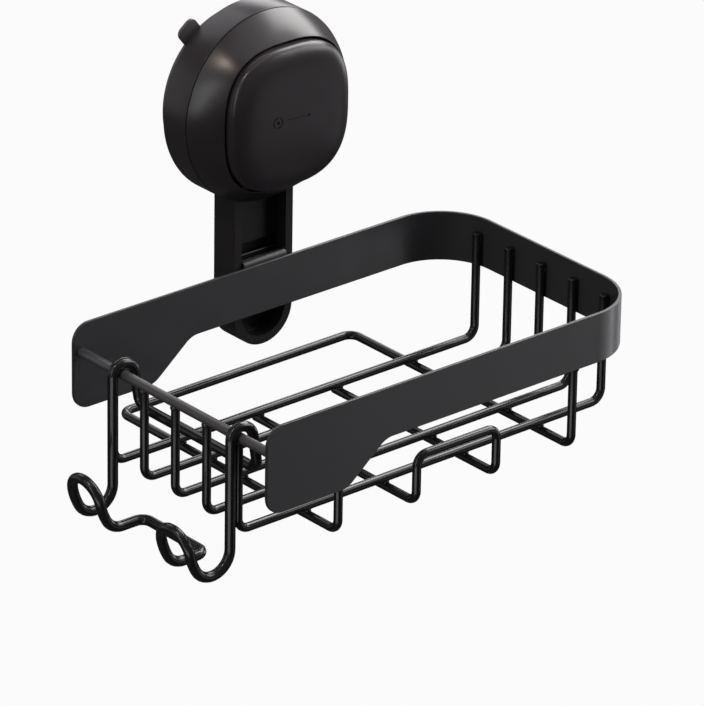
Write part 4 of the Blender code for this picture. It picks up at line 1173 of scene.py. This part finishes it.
def makeReturnSprings():
    radius, curls = springs["wireRadius"], springs["curls"]
    for node, name in springs["pieces"].items():
        low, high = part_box(node)
        centre = (low + high) / 2
        coil = (high.z - low.z) / 2 - radius
        length = high.y - low.y
        run = length - 2 * radius
        closed = springs["closedRise"] * radius
        route = []
        for step in range(curls * springs["curlSteps"] + 1):
            turns = step / springs["curlSteps"]
            rise = closed + (run - 2 * closed) * (turns - 1) / (curls - 2)
            if turns < 1:
                rise = closed * turns
            elif turns > curls - 1:
                rise = run - closed * (curls - turns)
            angle = 2 * math.pi * turns
            place = (coil * math.cos(angle), -radius - rise, coil * math.sin(angle))
            route.append(Vector((centre.x, high.y, centre.z)) + Vector(place))
        piece = sweptWire(name, route, False, springs)
        finishPiece(piece, "zincSteel", "head", node)
        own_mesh(piece)


makeReturnSprings()

# Inner pieces keep their solids and get their finishes

innerFinishes = {  # by how the nodes' names start
    "innerPlastic": (
        "base_plate", "button_carrier", "pad_stem", "stem_collar", "lever_left", "lever_right",
    ),
    "zincSteel": ("lever_pin_", "housing_screw_", "arm_screw_"),
}
for finishName, starts in innerFinishes.items():
    innerPieces = [node for name, node in frame["nodes"].items() if name.startswith(starts)]
    for innerPiece in innerPieces:
        for nodeSlot in innerPiece.material_slots:
            nodeSlot.material = materials[finishName]
    print("inner pieces in", finishName, len(innerPieces))

# Studio

studio = {
    "floorDrop": 2.6,  # far below, so that no shadow falls in the picture
    "floorSize": 24.0,
    "floorCells": 8,
    "floorTone": (0.16, 0.16, 0.165),
    "floorRoughness": 0.9,
    "paperTone": (0.965, 0.965, 0.965),
    "skyTone": (0.97, 0.98, 1.0),
    "skyLight": 0.14,
    "aim": (-0.01, -0.06, -0.04),
    "distance": 1.5,  # of each softbox from there
}
# name: azimuth from straight ahead, elevation, width, height, brightness, colour,
# and for a light that falls on one finish only, that finish
softboxes = {
    "leftStrip": (-79, 11, 0.20, 0.9, 3.9, (0.97, 0.98, 1.0)),
    "leftBox": (-95, 30, 1.0, 1.0, 0.6, (0.98, 0.98, 1.0)),
    "leftLamp": (-81, 54, 0.11, 0.16, 60.0, (1.0, 0.86, 0.74)),
    "keyBackBox": (100, 42, 0.9, 0.9, 8.5, (1.0, 0.98, 0.97)),
    "keyFrontBox": (61, 27, 0.9, 0.9, 4.3, (1.0, 0.99, 1.0)),
    "rightBox": (85, -3, 0.7, 0.6, 2.6, (1.0, 0.98, 1.0)),
    "rearRightBox": (137, 15, 0.6, 0.5, 3.0, (1.0, 0.98, 1.0)),
    "rearBox": (172, 40, 0.9, 0.7, 1.2, (0.98, 0.97, 1.0)),
    "rearLeftBox": (-145, 5, 0.9, 1.0, 0.35, (1.0, 0.98, 1.0)),
    "topBox": (20, 78, 1.2, 0.9, 0.6, (1.0, 1.0, 1.0)),
    "frontLowBox": (46, -22, 0.8, 0.5, 0.35, (1.0, 0.98, 1.0)),
    "wireGlow": (-64, -26, 1.3, 0.5, 1.9, (0.97, 0.98, 1.0), "wireCoat"),
    "bandFrontBox": (60, -24, 0.7, 0.5, 0.7, (1.0, 0.98, 1.0), "bandCoatPaintedLight"),
    "bandRightStrip": (76, -25, 0.14, 0.35, 6.5, (1.0, 0.98, 1.0), "bandCoatPaintedLight"),
    "bandFarStrip": (106, -22, 0.14, 0.4, 3.0, (1.0, 0.98, 1.0), "bandCoatPaintedLight"),
}


def showCamera(tree, plain, shown, output):  # the camera sees one look and the light meets the other
    path = addNode(tree, "ShaderNodeLightPath", (0, 300))
    mix = addNode(tree, "ShaderNodeMixShader", (400, 0))
    linkAll(tree, (path, "Is Camera Ray", mix, 0), (plain, 0, mix, 1), (shown, 0, mix, 2))
    linkAll(tree, (mix, 0, output, "Surface"))


def makePaper():  # white where the camera looks, dim where it would light the wires from below
    paper = bpy.data.materials.new("paleFloor")
    paper.use_nodes = True
    tree = paper.node_tree
    shader = tree.nodes["Principled BSDF"]
    shader.inputs["Base Color"].default_value = (*studio["floorTone"], 1)
    shader.inputs["Roughness"].default_value = studio["floorRoughness"]
    glow = addNode(tree, "ShaderNodeEmission", (0, -300))
    glow.inputs["Color"].default_value = (*studio["paperTone"], 1)
    showCamera(tree, shader, glow, tree.nodes["Material Output"])
    return paper


def makeSky():
    world = bpy.data.worlds.new("studioSky")
    bpy.context.scene.world = world
    world.use_nodes = True
    tree = world.node_tree
    dim = tree.nodes["Background"]
    dim.inputs["Color"].default_value = (*studio["skyTone"], 1)
    dim.inputs["Strength"].default_value = studio["skyLight"]
    bright = addNode(tree, "ShaderNodeBackground", (0, -200))
    bright.inputs["Color"].default_value = (*studio["paperTone"], 1)
    showCamera(tree, dim, bright, tree.nodes["World Output"])


def makeSoftbox(name, azimuth, elevation, width, height, brightness, colour, finishName=None):
    turn, lift = math.radians(azimuth), math.radians(elevation)
    away = Vector((math.sin(turn) * math.cos(lift), -math.cos(turn) * math.cos(lift), math.sin(lift)))
    data = bpy.data.lights.new(name, "AREA")
    data.shape = "RECTANGLE"
    data.size, data.size_y = width, height
    data.energy = math.pi * width * height * brightness
    data.color = colour
    light = addPiece(name, data)
    light.location = Vector(studio["aim"]) + away * studio["distance"]
    light.rotation_mode = "QUATERNION"
    light.rotation_quaternion = (-away).to_track_quat("-Z", "Y")
    light.visible_camera = False
    if finishName:
        receivers = bpy.data.collections.new(name)
        for piece in bpy.context.scene.objects:
            if piece.type == "MESH" and materials[finishName] in piece.data.materials[:]:
                receivers.objects.link(piece)
        light.light_linking.receiver_collection = receivers


def makeStudio():
    cells = studio["floorCells"]
    work = bmesh.new()
    bmesh.ops.create_grid(work, x_segments=cells, y_segments=cells, size=studio["floorSize"] / 2)
    bmesh.ops.translate(work, verts=work.verts, vec=(0, 0, cadBox[0][2] - studio["floorDrop"]))
    floor = pieceFrom("studioFloor", work)
    floor.data.materials.append(makePaper())
    makeSky()
    for name, settings in softboxes.items():
        makeSoftbox(name, *settings)


makeStudio()
bpy.context.scene.view_settings.view_transform = "Standard"
print("studio lit")
